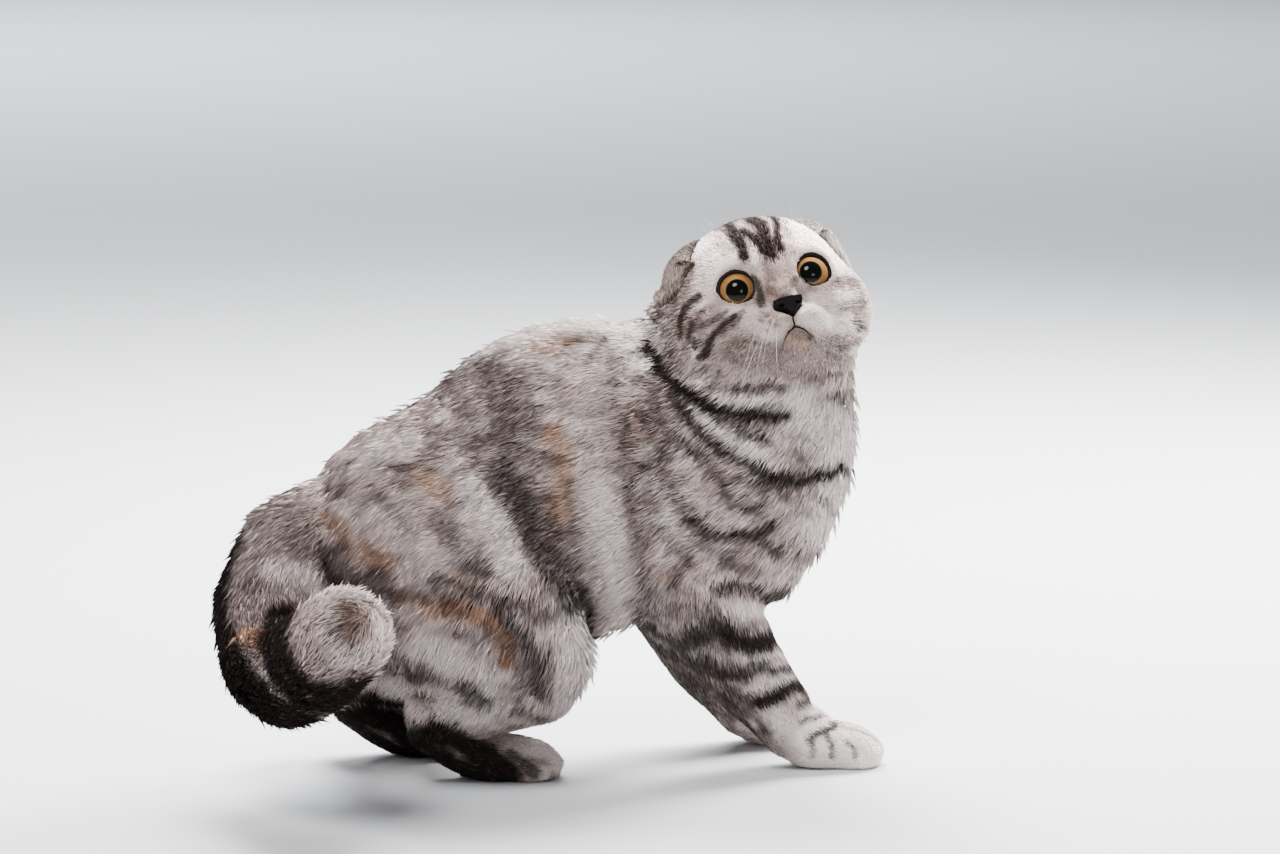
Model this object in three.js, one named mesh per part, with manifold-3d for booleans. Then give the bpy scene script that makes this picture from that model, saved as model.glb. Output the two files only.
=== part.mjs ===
// A short-haired fold-eared cat, life size, standing half crouched with its tail curled forward
// and its head turned over its right shoulder. Millimetres, +X towards the chest, +Y to the cat's left, +Z up.
// Each surface is the outer face of the coat. It is cast from a few named solid forms that melt into each other,
// and is parted into the cat's named pieces by gaps of GAP.
import * as THREE from "three";
import { mergeVertices } from "three/addons/utils/BufferGeometryUtils.js";
import Module from "manifold-3d";

const wasm = await Module();
wasm.setup();

// Driving dimensions, in millimetres and degrees
const GAP = 0.3;
const BACK_TOP = 238;
const BELLY_LOW = 66;
const BODY_HALF_WIDTH = 60;
const RUMP_HALF_WIDTH = 56;
const CHEST_FRONT_X = 110;
const NECK_RADIUS = 49;
const HEAD_CENTRE = [63.4, -14, 244.5];
const HEAD_YAW = -98;
const HEAD_PITCH = 31.4;
const HEAD_ROLL = 12.8;
const EYE_SPACING = 38.5;
const EYEBALL_RADIUS = 11;
const EYE_FORWARD = 24;
const EYE_DROP = 3.2;
const NOSE_HEIGHT = -23.5;
const EAR_ROOT_INNER = [-6, 20, 40];
const EAR_ROOT_BACK = [-24, 38, 28];
const EAR_ROOT_OUTER = [-8, 52, 4];
const EAR_TIP = [13, 38, 25];
const EAR_RISE = 7;
const LID_OPENING_RADIUS = 9.7;
const LID_THICKNESS = 2.1;
const TAIL_RADIUS = 27;
const PAW_HALF_WIDTH = 17;
const FOREARM_SPREAD = 31;
const RIGHT_FORE_STANCE = 34;
const LEFT_FORE_STANCE = 22;
const RIGHT_HIND_STANCE = 17;
const LEFT_HIND_STANCE = 44;
const LEFT_FOREPAW_BACK = 9;
const LEFT_HINDFOOT_BACK = 27;

const vec = (x, y, z) => new THREE.Vector3(x, y, z);
const radians = THREE.MathUtils.degToRad;

// Forms: each is a function from a point to its distance outside the form, negative inside.

// The tilt raises the end towards +X
function ellipsoid(centre, radii, tilt = 0) {
  const turn = new THREE.Matrix4().makeRotationY(radians(-tilt)).setPosition(...centre).invert();
  const size = vec(...radii);
  const local = vec(0, 0, 0);
  const scaled = vec(0, 0, 0);
  return (point) => {
    local.copy(point).applyMatrix4(turn);
    const near = scaled.copy(local).divide(size).length();
    const steep = scaled.divide(size).length();
    return steep < 1e-9 ? -Math.min(...radii) : (near * (near - 1)) / steep;
  };
}

// A tapering limb through points [x, y, z, radius], round at both ends
function limb(joints) {
  const spans = joints.slice(1).map((end, i) => {
    const start = joints[i];
    const from = vec(...start.slice(0, 3));
    const way = vec(...end.slice(0, 3)).sub(from);
    return { from, way, square: way.lengthSq(), thick: start[3], grows: end[3] - start[3] };
  });
  const offset = vec(0, 0, 0);
  return (point) => {
    let least = Infinity;
    for (const { from, way, square, thick, grows } of spans) {
      offset.copy(point).sub(from);
      const share = THREE.MathUtils.clamp(offset.dot(way) / square, 0, 1);
      const away = offset.addScaledVector(way, -share).length() - thick - grows * share;
      least = Math.min(least, away);
    }
    return least;
  };
}

// Forms that melt into each other over a distance
function melt(reach, ...forms) {
  return (point) => {
    let total = forms[0](point);
    for (const form of forms.slice(1)) {
      const other = form(point);
      const share = Math.max(reach - Math.abs(total - other), 0) / reach;
      total = Math.min(total, other) - (share * share * share * reach) / 6;
    }
    return total;
  };
}

// A form with a soft-edged hollow pressed into it
function hollowed(reach, form, hollow) {
  return (point) => {
    const outer = form(point);
    const inner = -hollow(point);
    const share = Math.max(reach - Math.abs(outer - inner), 0) / reach;
    return Math.max(outer, inner) + (share * share * share * reach) / 6;
  };
}

// Casting: rays run out from a spine, ring by ring, to the surface of a form.

// How far along a ray the form's surface lies, up to the given reach
function rayLength(form, level, from, way, reach) {
  const point = vec(0, 0, 0);
  let inside = 0;
  let step = 0.5;
  let along = 0;
  while (along < reach) {
    along = Math.min(along + step, reach);
    const away = form(point.copy(from).addScaledVector(way, along)) - level;
    if (away > 0) break;
    inside = along;
    step = Math.max(-away * 0.6, 0.5);
  }
  let outside = along;
  for (let i = 0; i < 14; i++) {
    const middle = (inside + outside) / 2;
    if (form(point.copy(from).addScaledVector(way, middle)) > level) outside = middle;
    else inside = middle;
  }
  return outside;
}

// Spokes along a smooth spine through the given points. Each is a place, a direction and a lean, and a cap
// of leaning spokes closes each end. At every share in partings, two spokes stand a gap apart.
function spineSpokes(points, { rings, startCap = 4, endCap = 4, partings = [] }) {
  const curve = new THREE.CatmullRomCurve3(points.map((p) => vec(...p)), false, "centripetal");
  const halfGap = GAP / 2 / curve.getLength();
  const spokes = [];
  const add = (share, lean, parting = null) =>
    spokes.push({ at: curve.getPointAt(share), along: curve.getTangentAt(share), lean, parting });
  for (let i = startCap; i > 0; i--) add(0, (-i / (startCap + 1)) * 90);
  const clear = 0.45 / rings;
  for (let i = 0; i <= rings; i++) {
    const share = i / rings;
    if (!partings.some((p) => Math.abs(p - share) < clear)) add(share, 0);
    const next = (i + 1) / rings;
    for (const p of partings.filter((q) => q >= share && q < next)) {
      add(p - halfGap, 0, "end");
      add(p + halfGap, 0, "start");
    }
  }
  for (let i = 1; i <= endCap; i++) add(1, (i / (endCap + 1)) * 90);
  const first = { at: curve.getPointAt(0), way: curve.getTangentAt(0).negate() };
  const last = { at: curve.getPointAt(1), way: curve.getTangentAt(1) };
  return { spokes, first, last };
}

// The rings of points where the spokes meet the form
function castRings(form, spine, { sides, up, level = 0, reach = 400 }) {
  const rings = spine.spokes.map(({ at, along, lean, parting }) => {
    const side = vec(0, 0, 0).crossVectors(along, vec(...up)).normalize();
    const top = vec(0, 0, 0).crossVectors(side, along).normalize();
    const tilt = radians(lean);
    const points = [];
    for (let i = 0; i < sides; i++) {
      const angle = (i / sides) * 2 * Math.PI;
      const way = vec(0, 0, 0)
        .addScaledVector(side, Math.cos(angle) * Math.cos(tilt))
        .addScaledVector(top, Math.sin(angle) * Math.cos(tilt))
        .addScaledVector(along, Math.sin(tilt));
      points.push(at.clone().addScaledVector(way, rayLength(form, level, at, way, reach)));
    }
    return { points, parting };
  });
  const pole = ({ at, way }) => at.clone().addScaledVector(way, rayLength(form, level, at, way, reach));
  return { rings, first: pole(spine.first), last: pole(spine.last) };
}

// A closed surface over a run of rings, closed by a pole or flat middle point at each end
function closeRings(rings, first, last) {
  const middle = (ring) =>
    ring.reduce((sum, p) => sum.add(p), vec(0, 0, 0)).divideScalar(ring.length);
  const start = first ?? middle(rings[0].points);
  const end = last ?? middle(rings.at(-1).points);
  const sides = rings[0].points.length;
  const places = [start, ...rings.flatMap((ring) => ring.points), end];
  const triangles = [];
  for (let i = 0; i < sides; i++) {
    const j = (i + 1) % sides;
    triangles.push(0, 1 + j, 1 + i);
    for (let k = 0; k + 1 < rings.length; k++) {
      const a = 1 + k * sides;
      const b = a + sides;
      triangles.push(a + i, a + j, b + j, a + i, b + j, b + i);
    }
    const a = 1 + (rings.length - 1) * sides;
    triangles.push(a + i, a + j, places.length - 1);
  }
  const geometry = new THREE.BufferGeometry().setFromPoints(places);
  return geometry.setIndex(triangles);
}

// Solids: joined and cut with the boolean library

function solidOf(geometry) {
  const bare = geometry.clone();
  for (const name of ["normal", "uv"]) bare.deleteAttribute(name);
  const merged = mergeVertices(bare, 1e-4);
  const vertProperties = new Float32Array(merged.attributes.position.array);
  const triangles = new Uint32Array(merged.index.array);
  const build = (triVerts) => new wasm.Manifold(new wasm.Mesh({ numProp: 3, vertProperties, triVerts }));
  const solid = build(triangles);
  // A surface that faces inward, such as a mirrored one, is built again with its triangles turned
  return solid.volume() > 0 ? solid : build(triangles.reverse());
}

const largest = (solid) =>
  solid.decompose().reduce((best, piece) => (piece.volume() > best.volume() ? piece : best));

const placed = (geometry, matrix) => solidOf(geometry.applyMatrix4(matrix));

// The whole form as one solid, or its stretches between partings
const whole = ({ rings, first, last }) => solidOf(closeRings(rings, first, last));

function stretches({ rings, first, last }) {
  const runs = [[]];
  for (const ring of rings) {
    if (ring.parting === "start") runs.push([]);
    runs.at(-1).push(ring);
  }
  return runs.map((run, i) =>
    solidOf(closeRings(run, i === 0 ? first : null, i === runs.length - 1 ? last : null)),
  );
}

// What stands below the floor is cut off flat
const floorBlock = solidOf(new THREE.BoxGeometry(900, 900, 100).translate(0, 0, -50));
const standing = (solid) => largest(solid.subtract(floorBlock));

const materials = {};
function coat(name, colour) {
  materials[name] ??= new THREE.MeshStandardMaterial({ color: colour, roughness: 0.9, metalness: 0 });
  return materials[name];
}

const cat = new THREE.Group();
function addPiece(name, solid, material) {
  const { vertProperties, triVerts } = solid.getMesh();
  const geometry = new THREE.BufferGeometry()
    .setAttribute("position", new THREE.BufferAttribute(new Float32Array(vertProperties), 3))
    .setIndex(new THREE.BufferAttribute(new Uint32Array(triVerts), 1));
  geometry.computeVertexNormals();
  const piece = new THREE.Mesh(geometry, material);
  piece.name = name;
  cat.add(piece);
}

const SILVER = coat("silver coat", 0x9d948c);
const DARK = coat("dark coat", 0x6a615b);
const PALE = coat("pale coat", 0xd6cdc6);
const EYE = new THREE.MeshStandardMaterial({ color: 0xb87a2e, roughness: 0.1, metalness: 0 });
const LEATHER = new THREE.MeshStandardMaterial({ color: 0x1c1a1c, roughness: 0.5, metalness: 0 });

// Trunk: rump, barrel, chest and neck along one spine that bends up to the head

const bodyHeight = BACK_TOP - BELLY_LOW;
const bodyMiddle = (BACK_TOP + BELLY_LOW) / 2;

function trunkForm() {
  const barrel = ellipsoid([-36, 0, bodyMiddle], [92, BODY_HALF_WIDTH, bodyHeight / 2 - 2], 14);
  const rump = ellipsoid([-112, 0, 134], [70, RUMP_HALF_WIDTH, 58], 24);
  const chest = ellipsoid([CHEST_FRONT_X - 58, 0, 148], [56, 49, 64]);
  const bib = ellipsoid([81, -5, 172], [34, 38, 50]);
  const neck = limb([
    [40, 0, 176, NECK_RADIUS],
    [64, -10, 220, NECK_RADIUS - 1],
  ]);
  const nape = limb([
    [18, 0, 186, 38],
    [42, -2, 219, 37],
  ]);
  const shoulders = [-1, 1].map((side) => ellipsoid([46, 32 * side, 130], [38, 24, 50], 12));
  const haunches = [-1, 1].map((side) => ellipsoid([-110, 34 * side, 114], [50, 28, 46], 10));
  return melt(24, barrel, rump, chest, bib, neck, nape, ...shoulders, ...haunches);
}

const trunk = trunkForm();
const trunkSpine = spineSpokes(
  [
    [-128, 0, 130],
    [-90, 0, 142],
    [-40, 0, 156],
    [5, 0, 165],
    [38, -2, 180],
    [62, -6, 200],
    [80, -10, 220],
  ],
  { rings: 17, partings: [0.18, 0.56, 0.82] },
);
const trunkCast = { sides: 28, up: [0, 1, 0] };
const [rump, flank, chest, neckStub] = stretches(castRings(trunk, trunkSpine, trunkCast));
const trunkGrown = whole(castRings(trunk, trunkSpine, { ...trunkCast, level: GAP }));

// Head, in its own frame: X out of the face, Y to the cat's left, Z to the crown

const headFrame = new THREE.Matrix4()
  .makeRotationFromEuler(
    new THREE.Euler(radians(HEAD_ROLL), radians(-HEAD_PITCH), radians(HEAD_YAW), "ZYX"),
  )
  .setPosition(...HEAD_CENTRE);
const eyeCentre = (side) => [EYE_FORWARD, (side * EYE_SPACING) / 2, -EYE_DROP];
const eyeAxis = (side) => vec(1, 0.22 * side, 0.05).normalize();

function headForm() {
  const skull = ellipsoid([-7, 0, 6], [44, 45, 41]);
  const pairs = [-1, 1].flatMap((side) => [
    ellipsoid([-1, 26 * side, -15], [32, 27, 28]),
    ellipsoid([17, 20 * side, 9], [13, 13, 9]),
    ellipsoid([19, 23 * side, -19], [14, 14, 9]),
    ellipsoid([14, 21 * side, -32], [17, 16, 13]),
  ]);
  const jaw = ellipsoid([4, 0, -33], [31, 35, 18]);
  const muzzle = ellipsoid([23, 0, -29], [19, 20, 14]);
  const bridge = limb([
    [27, 0, -2, 9],
    [35, 0, -17, 7],
    [37, 0, -24, 6],
  ]);
  const chin = ellipsoid([28, 0, -43], [11, 11, 8]);
  const pads = [-1, 1].map((side) => ellipsoid([31, 9 * side, -31.5], [12, 12, 9]));
  let head = melt(12, skull, ...pairs, jaw);
  head = melt(7, head, muzzle, bridge, chin);
  head = melt(4, head, ...pads);
  for (const side of [-1, 1]) {
    const [x, y, z] = eyeCentre(side);
    const out = eyeAxis(side).multiplyScalar(EYEBALL_RADIUS + 2);
    head = hollowed(4, head, ellipsoid([x + out.x, y + out.y, z + out.z], [8, 11, 10]));
  }
  return head;
}

const headLocal = headForm();
const headSpine = [
  [-8, 0, -9],
  [0, 0, -11],
  [8, 0, -13],
];
const castHead = (level, sides, startCap, endCap) =>
  whole(castRings(headLocal, spineSpokes(headSpine, { rings: 1, startCap, endCap }), { level, sides, up: [0, 0, 1] }));

const eyeball = (side, extra) =>
  solidOf(new THREE.SphereGeometry(EYEBALL_RADIUS + extra, 22, 14).translate(...eyeCentre(side)));

// The two lids as one rim round the opening, thicker above
function lidRim(side) {
  const out = eyeAxis(side);
  const rise = Math.sqrt(EYEBALL_RADIUS ** 2 - LID_OPENING_RADIUS ** 2);
  const rim = new THREE.TorusGeometry(LID_OPENING_RADIUS + LID_THICKNESS * 0.7, LID_THICKNESS, 6, 26);
  const turn = new THREE.Quaternion().setFromUnitVectors(vec(0, 0, 1), out);
  const at = vec(...eyeCentre(side)).addScaledVector(out, rise);
  return placed(rim, new THREE.Matrix4().compose(at, turn, vec(1, 1, 1)));
}

// The line of the mouth: a groove down from the nose and out along both lips
function mouthGroove() {
  const groove = (points) => {
    const path = new THREE.CatmullRomCurve3(points.map((p) => vec(...p)));
    const section = new THREE.Shape().absarc(0, 0, 0.9, 0, 2 * Math.PI);
    return solidOf(
      new THREE.ExtrudeGeometry(section, { steps: 10, extrudePath: path, curveSegments: 3, bevelEnabled: false }),
    );
  };
  const surface = (y, z) => rayLength(headLocal, 0, vec(20, y, z), vec(1, 0, 0), 60) + 20;
  const follow = (places) => places.map(([y, z]) => [surface(y, z) - 0.1, y, z]);
  const philtrum = groove(follow([[0, -28], [0, -32], [0, -36.5]]));
  const lips = [-1, 1].map((side) =>
    groove(follow([[0, -36], [4 * side, -38], [8 * side, -41.5], [13 * side, -43]])),
  );
  return wasm.Manifold.union([philtrum, ...lips]);
}

// Nose leather: a rounded wedge that narrows down to the philtrum, with two nostrils, or the room round it
function noseLeather(extra) {
  const shape = new THREE.Shape();
  shape.moveTo(-7, 3);
  shape.quadraticCurveTo(0, 4.6, 7, 3);
  shape.quadraticCurveTo(7.4, 0.2, 4.2, -1.4);
  shape.quadraticCurveTo(2, -2.8, 1.1, -5);
  shape.lineTo(-1.1, -5);
  shape.quadraticCurveTo(-2, -2.8, -4.2, -1.4);
  shape.quadraticCurveTo(-7.4, 0.2, -7, 3);
  const wedge = new THREE.ExtrudeGeometry(shape, {
    depth: 5,
    bevelSize: 0.6 + extra,
    bevelThickness: 1 + extra,
    bevelSegments: 2,
    curveSegments: 3,
  });
  wedge.applyMatrix4(new THREE.Matrix4().makeBasis(vec(0, 1, 0), vec(-0.26, 0, 0.966), vec(0.966, 0, 0.26)));
  const surface = rayLength(headLocal, 0, vec(20, 0, NOSE_HEIGHT), vec(1, 0, 0), 60) + 20;
  let solid = solidOf(wedge.translate(surface - 5, 0, NOSE_HEIGHT));
  if (extra > 0) return solid.hull();
  for (const side of [-1, 1]) {
    const nostril = new THREE.SphereGeometry(1, 8, 6).scale(3, 1.6, 0.9);
    solid = solid.subtract(solidOf(nostril.translate(surface + 1.5, 4.3 * side, NOSE_HEIGHT + 0.6)));
  }
  return solid;
}

// A folded ear: a flap that follows the skull from its root, rises off it, bends over and points back down,
// with the ear's cup open under its front edge. Places are directions from the head's centre.
function foldedEar(side) {
  const across = 10;
  const along = 8;
  const thickness = 2.2;
  const inner = vec(...EAR_ROOT_INNER).normalize();
  const outer = vec(...EAR_ROOT_OUTER).normalize();
  const back = vec(...EAR_ROOT_BACK).normalize();
  const tip = vec(...EAR_TIP).normalize();
  const sheet = (u, v, lift) => {
    const root = vec(0, 0, 0)
      .addScaledVector(inner, (u * (u - 1)) / 2)
      .addScaledVector(back, 1 - u * u)
      .addScaledVector(outer, (u * (u + 1)) / 2);
    const narrow = 1 - Math.sqrt(1 - v * v * 0.97);
    const middle = vec(0, 0, 0).copy(back).lerp(tip, v);
    const way = root.lerp(tip, v).lerp(middle, narrow).normalize();
    const bow = Math.sin(Math.PI * (0.06 + 0.8 * v ** 0.75));
    const rise = EAR_RISE * bow * (1 - 0.45 * u * u * (1 - v)) - 2.5 * (1 - v) ** 2;
    way.y *= side;
    return way.multiplyScalar(rayLength(headLocal, 0, vec(0, 0, 0), way, 90) + rise + lift);
  };
  const places = [];
  for (const lift of [thickness, 0])
    for (let j = 0; j <= along; j++)
      for (let i = 0; i <= across; i++) places.push(sheet((2 * i) / across - 1, j / along, lift));
  const layer = (across + 1) * (along + 1);
  const at = (k, i, j) => k * layer + j * (across + 1) + i;
  const triangles = [];
  const quad = (a, b, c, d) => triangles.push(a, b, c, a, c, d);
  for (let j = 0; j < along; j++)
    for (let i = 0; i < across; i++) {
      quad(at(0, i, j), at(0, i + 1, j), at(0, i + 1, j + 1), at(0, i, j + 1));
      quad(at(1, i, j), at(1, i, j + 1), at(1, i + 1, j + 1), at(1, i + 1, j));
    }
  for (let i = 0; i < across; i++) {
    quad(at(0, i, 0), at(1, i, 0), at(1, i + 1, 0), at(0, i + 1, 0));
    quad(at(0, i, along), at(0, i + 1, along), at(1, i + 1, along), at(1, i, along));
  }
  for (let j = 0; j < along; j++) {
    quad(at(0, 0, j), at(0, 0, j + 1), at(1, 0, j + 1), at(1, 0, j));
    quad(at(0, across, j), at(1, across, j), at(1, across, j + 1), at(0, across, j + 1));
  }
  return solidOf(new THREE.BufferGeometry().setFromPoints(places).setIndex(triangles));
}

const headRoom = castHead(GAP + 0.7, 32, 8, 9);
let head = castHead(0, 44, 7, 14);
const ears = {};
const eyes = {};
for (const side of [-1, 1]) {
  head = head.add(lidRim(side));
  eyes[side] = eyeball(side, 0);
  ears[side] = largest(foldedEar(side).subtract(headRoom));
}
for (const side of [-1, 1]) head = head.subtract(eyeball(side, GAP));
head = largest(head.subtract(noseLeather(GAP)).subtract(mouthGroove()));

const inPlace = (solid) => solid.transform(headFrame.elements);
addPiece("head", inPlace(head), SILVER);
addPiece("nose", inPlace(largest(noseLeather(0))), LEATHER);
for (const [side, label] of [[-1, "right"], [1, "left"]]) {
  addPiece(`eye_${label}`, inPlace(eyes[side]), EYE);
  addPiece(`ear_${label}`, largest(inPlace(ears[side]).subtract(trunkGrown)), DARK);
}

const headInPlace = inPlace(headRoom);
addPiece("neck", largest(neckStub.subtract(headInPlace)), SILVER);
addPiece("chest", largest(chest.subtract(headInPlace)), SILVER);
addPiece("flank", flank, SILVER);
addPiece("rump", rump, SILVER);

// Legs: each is cast from its own form, parted into its lengths and cut clear of what it grows from

function addLengths(names, form, spine, options, cutters, material) {
  const rings = castRings(form, spineSpokes(spine, options), options);
  stretches(rings).forEach((length, i) => {
    const clear = cutters.reduce((solid, cutter) => solid.subtract(cutter), length);
    addPiece(names[i], standing(clear), i === names.length - 1 ? material : SILVER);
  });
}

// Four toes side by side at the front of a paw
function toes(x, y, spread, size) {
  const places = [-1.5, -0.5, 0.5, 1.5];
  return places.map((place) => {
    const reach = 4 * (1 - (place / 1.5) ** 2);
    return ellipsoid([x + reach, y + place * spread, size * 0.75], [size * 1.5, size * 0.82, size]);
  });
}

function foreleg(label, side, stance, back) {
  const spread = side * FOREARM_SPREAD;
  const paw = side * stance;
  const joints = [
    [26 - back / 3, spread, 92, 30],
    [40 - back / 2, spread * 0.6 + paw * 0.4, 64, 24.5],
    [53 - back, spread * 0.3 + paw * 0.7, 46, 21],
    [64 - back, paw, 33, 18.5],
    [74 - back, paw, 19, 16],
    [88 - back, paw, 12, 13],
  ];
  const foot = ellipsoid([93 - back, paw, 11], [26, PAW_HALF_WIDTH, 12.5]);
  const spine = joints.map(([x, y, z]) => [x, y, z]).toSpliced(-1, 1, [100 - back, paw, 9]);
  const pieces = [`foreleg_${label}_upper`, `foreleg_${label}_lower`, `forepaw_${label}`];
  const options = { rings: 16, startCap: 3, endCap: 5, sides: 20, up: [0, 1, 0], partings: [0.34, 0.66] };
  const form = melt(6, limb(joints), foot, ...toes(107 - back, paw, 7.6, 8.6));
  addLengths(pieces, form, spine, options, [trunkGrown], PALE);
}
foreleg("right", -1, RIGHT_FORE_STANCE, 0);
foreleg("left", 1, LEFT_FORE_STANCE, LEFT_FOREPAW_BACK);

function hindLeg(label, side, stance, back) {
  const knee = side * 46;
  const sole = side * stance;
  const hock = sole + side * 7;
  const upperBack = back / 3;
  const thighForm = melt(
    14,
    ellipsoid([-94 - upperBack, side * 42, 90], [52, 28, 44], 14),
    ellipsoid([-62 - upperBack, knee, 68], [25, 23, 25]),
  );
  const thighSpine = spineSpokes(
    [
      [-104 - upperBack, side * 42, 92],
      [-74 - upperBack, knee, 78],
    ],
    { rings: 4 },
  );
  const thighCast = { sides: 22, up: [0, 1, 0] };
  const thigh = whole(castRings(thighForm, thighSpine, thighCast));
  const thighGrown = whole(castRings(thighForm, thighSpine, { ...thighCast, level: GAP }));
  addPiece(`thigh_${label}`, largest(thigh.subtract(trunkGrown)), SILVER);

  const shankJoints = [
    [-66 - upperBack, knee - side * 4, 56, 23],
    [-92 - back / 1.5, (knee + hock) / 2, 48, 22],
    [-115 - back, hock, 38, 16],
  ];
  const shankForm = limb(shankJoints);
  const shankSpine = spineSpokes(shankJoints.map(([x, y, z]) => [x, y, z]), { rings: 5 });
  const shankCast = { sides: 18, up: [0, 1, 0] };
  const shank = whole(castRings(shankForm, shankSpine, shankCast));
  const shankGrown = whole(castRings(shankForm, shankSpine, { ...shankCast, level: GAP }));
  addPiece(`shank_${label}`, standing(shank.subtract(trunkGrown).subtract(thighGrown)), SILVER);

  const footJoints = [
    [-117 - back, sole + side * 3, 29, 12.5],
    [-98 - back, sole, 16, 13.5],
    [-76 - back, sole, 10, 13],
  ];
  const foot = ellipsoid([-74 - back, sole, 10], [24, PAW_HALF_WIDTH - 1, 12]);
  const spine = footJoints.map(([x, y, z]) => [x, y, z]).toSpliced(-1, 1, [-68 - back, sole, 9]);
  const options = { rings: 9, startCap: 3, endCap: 5, sides: 20, up: [0, 1, 0] };
  const cutters = [trunkGrown, thighGrown, shankGrown];
  const form = melt(6, limb(footJoints), foot, ...toes(-62 - back, sole, 7.2, 8.4));
  addLengths([`hindfoot_${label}`], form, spine, options, cutters, DARK);
}
hindLeg("right", -1, RIGHT_HIND_STANCE, 0);
hindLeg("left", 1, LEFT_HIND_STANCE, LEFT_HINDFOOT_BACK);

// Tail: hangs from the rump, curls under and comes forward on the right side
const tailJoints = [
  [-156, 0, 140, TAIL_RADIUS - 3],
  [-184, -2, 124, TAIL_RADIUS],
  [-199, -10, 96, TAIL_RADIUS],
  [-200, -34, 73, TAIL_RADIUS],
  [-196, -62, 71, TAIL_RADIUS],
  [-187, -90, 84, TAIL_RADIUS - 1],
  [-178, -108, 99, TAIL_RADIUS - 3],
];
const tailLengths = ["tail_base", "tail_middle", "tail_tip"];
const tailSpine = tailJoints.map(([x, y, z]) => [x, y, z]);
const tailOptions = { rings: 18, sides: 20, up: [1, 0.2, 0], partings: [0.36, 0.68] };
addLengths(tailLengths, limb(tailJoints), tailSpine, tailOptions, [trunkGrown], DARK);

// The origin is under the middle of the cat, on the floor
const bounds = new THREE.Box3().setFromObject(cat);
const middle = bounds.getCenter(vec(0, 0, 0));
cat.position.set(-middle.x, -middle.y, -bounds.min.z);

export default cat;
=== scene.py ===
import math

import bpy
import numpy as np
from bpy.props import FloatProperty, FloatVectorProperty, PointerProperty
from mathutils import Matrix, Vector
from mathutils.bvhtree import BVHTree


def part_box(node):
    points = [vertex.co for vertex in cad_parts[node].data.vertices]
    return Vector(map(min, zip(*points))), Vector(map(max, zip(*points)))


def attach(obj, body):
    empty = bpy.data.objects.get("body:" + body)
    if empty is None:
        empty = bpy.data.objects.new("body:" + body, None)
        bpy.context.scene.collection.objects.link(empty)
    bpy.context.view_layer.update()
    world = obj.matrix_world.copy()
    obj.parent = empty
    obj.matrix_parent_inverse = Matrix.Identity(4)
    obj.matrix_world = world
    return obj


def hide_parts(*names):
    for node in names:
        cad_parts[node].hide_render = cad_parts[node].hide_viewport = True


bl_info = {
    "name": "Fold-eared cat",
    "version": (1, 0, 0),
    "blender": (4, 5, 0),
    "location": "View3D > Sidebar > Cat",
    "description": "Dresses the packed model of a cat with skin, eyes, ears, whiskers and a tufted coat",
    "category": "Object",
}

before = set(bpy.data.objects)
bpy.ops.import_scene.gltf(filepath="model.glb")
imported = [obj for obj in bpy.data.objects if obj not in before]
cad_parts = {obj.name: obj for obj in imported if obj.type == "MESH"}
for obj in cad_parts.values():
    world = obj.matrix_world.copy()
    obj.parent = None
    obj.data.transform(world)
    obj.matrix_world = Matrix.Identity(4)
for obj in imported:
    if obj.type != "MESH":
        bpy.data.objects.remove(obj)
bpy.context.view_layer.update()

# Sizes, places and turns are in millimetres and degrees in the cat's own frame, as in the part's source: +X
# towards the chest, +Y to the cat's left, +Z up. The row frame differs from it by a shift, which the right
# eye gives.
MM = 0.001
HEAD_CENTRE = np.array((63.4, -14.0, 244.5))
HEAD_YAW = -98.0
HEAD_PITCH = 31.4
HEAD_ROLL = 12.8
EYE_RADIUS = 11.0
RIGHT = -1
LEFT = 1
SIDES = ((RIGHT, "right"), (LEFT, "left"))
UP = np.array((0.0, 0.0, 1.0))
FULL_TURN = 2 * math.pi
# In the head's frame, whose X is out of the face: the left eye, the way its lids open, and the nose leather
EYE_PLACE = (24.0, 19.25, -3.2)
LID_WAY = (1.0, 0.22, 0.05)
NOSE_PLACE = np.array((39.0, 0.0, -22.0))
# The lids' opening across, how far off the eye's centre their edge stands, and the slope round them
LID_EDGE = 8.9
LID_OUTSIDE = 11.7
LID_SKIRT = 11.0

HEAD_TURN = np.array(
    Matrix.Rotation(math.radians(HEAD_YAW), 3, "Z")
    @ Matrix.Rotation(math.radians(-HEAD_PITCH), 3, "Y")
    @ Matrix.Rotation(math.radians(HEAD_ROLL), 3, "X")
)


def on_side(place, side):
    """A place or way on the cat's left, brought to the given side."""
    return np.array(place, float) * (1, side, 1)


def eye_centre(side):
    """An eyeball's centre in the head's frame."""
    return on_side(EYE_PLACE, side)


def eye_axis(side):
    """The way the lids' opening faces, in the head's frame."""
    axis = on_side(LID_WAY, side)
    return axis / np.linalg.norm(axis)


def from_head(places):
    """Places in the head's frame, in the cat's frame."""
    return np.asarray(places) @ HEAD_TURN.T + HEAD_CENTRE


def to_head(places):
    """Places in the cat's frame, in the head's frame: X out of the face, Y to its left, Z to the crown."""
    return (np.asarray(places) - HEAD_CENTRE) @ HEAD_TURN


def box_middle(node):
    low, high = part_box(node)
    return (np.array(low) + np.array(high)) / 2 / MM


SHIFT = box_middle("eye_right") - from_head(eye_centre(RIGHT))


def to_row(places):
    """Places in the cat's frame, in metres in the row frame."""
    return (np.asarray(places) + SHIFT) * MM


def from_row(places):
    return np.asarray(places) / MM - SHIFT


def bearing(azimuth, elevation):
    """The way out from the cat at an angle round from its right side and an angle up."""
    turn = math.radians(azimuth)
    rise = math.radians(elevation)
    flat = math.cos(rise)
    return np.array((math.sin(turn) * flat, -math.cos(turn) * flat, math.sin(rise)))


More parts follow.
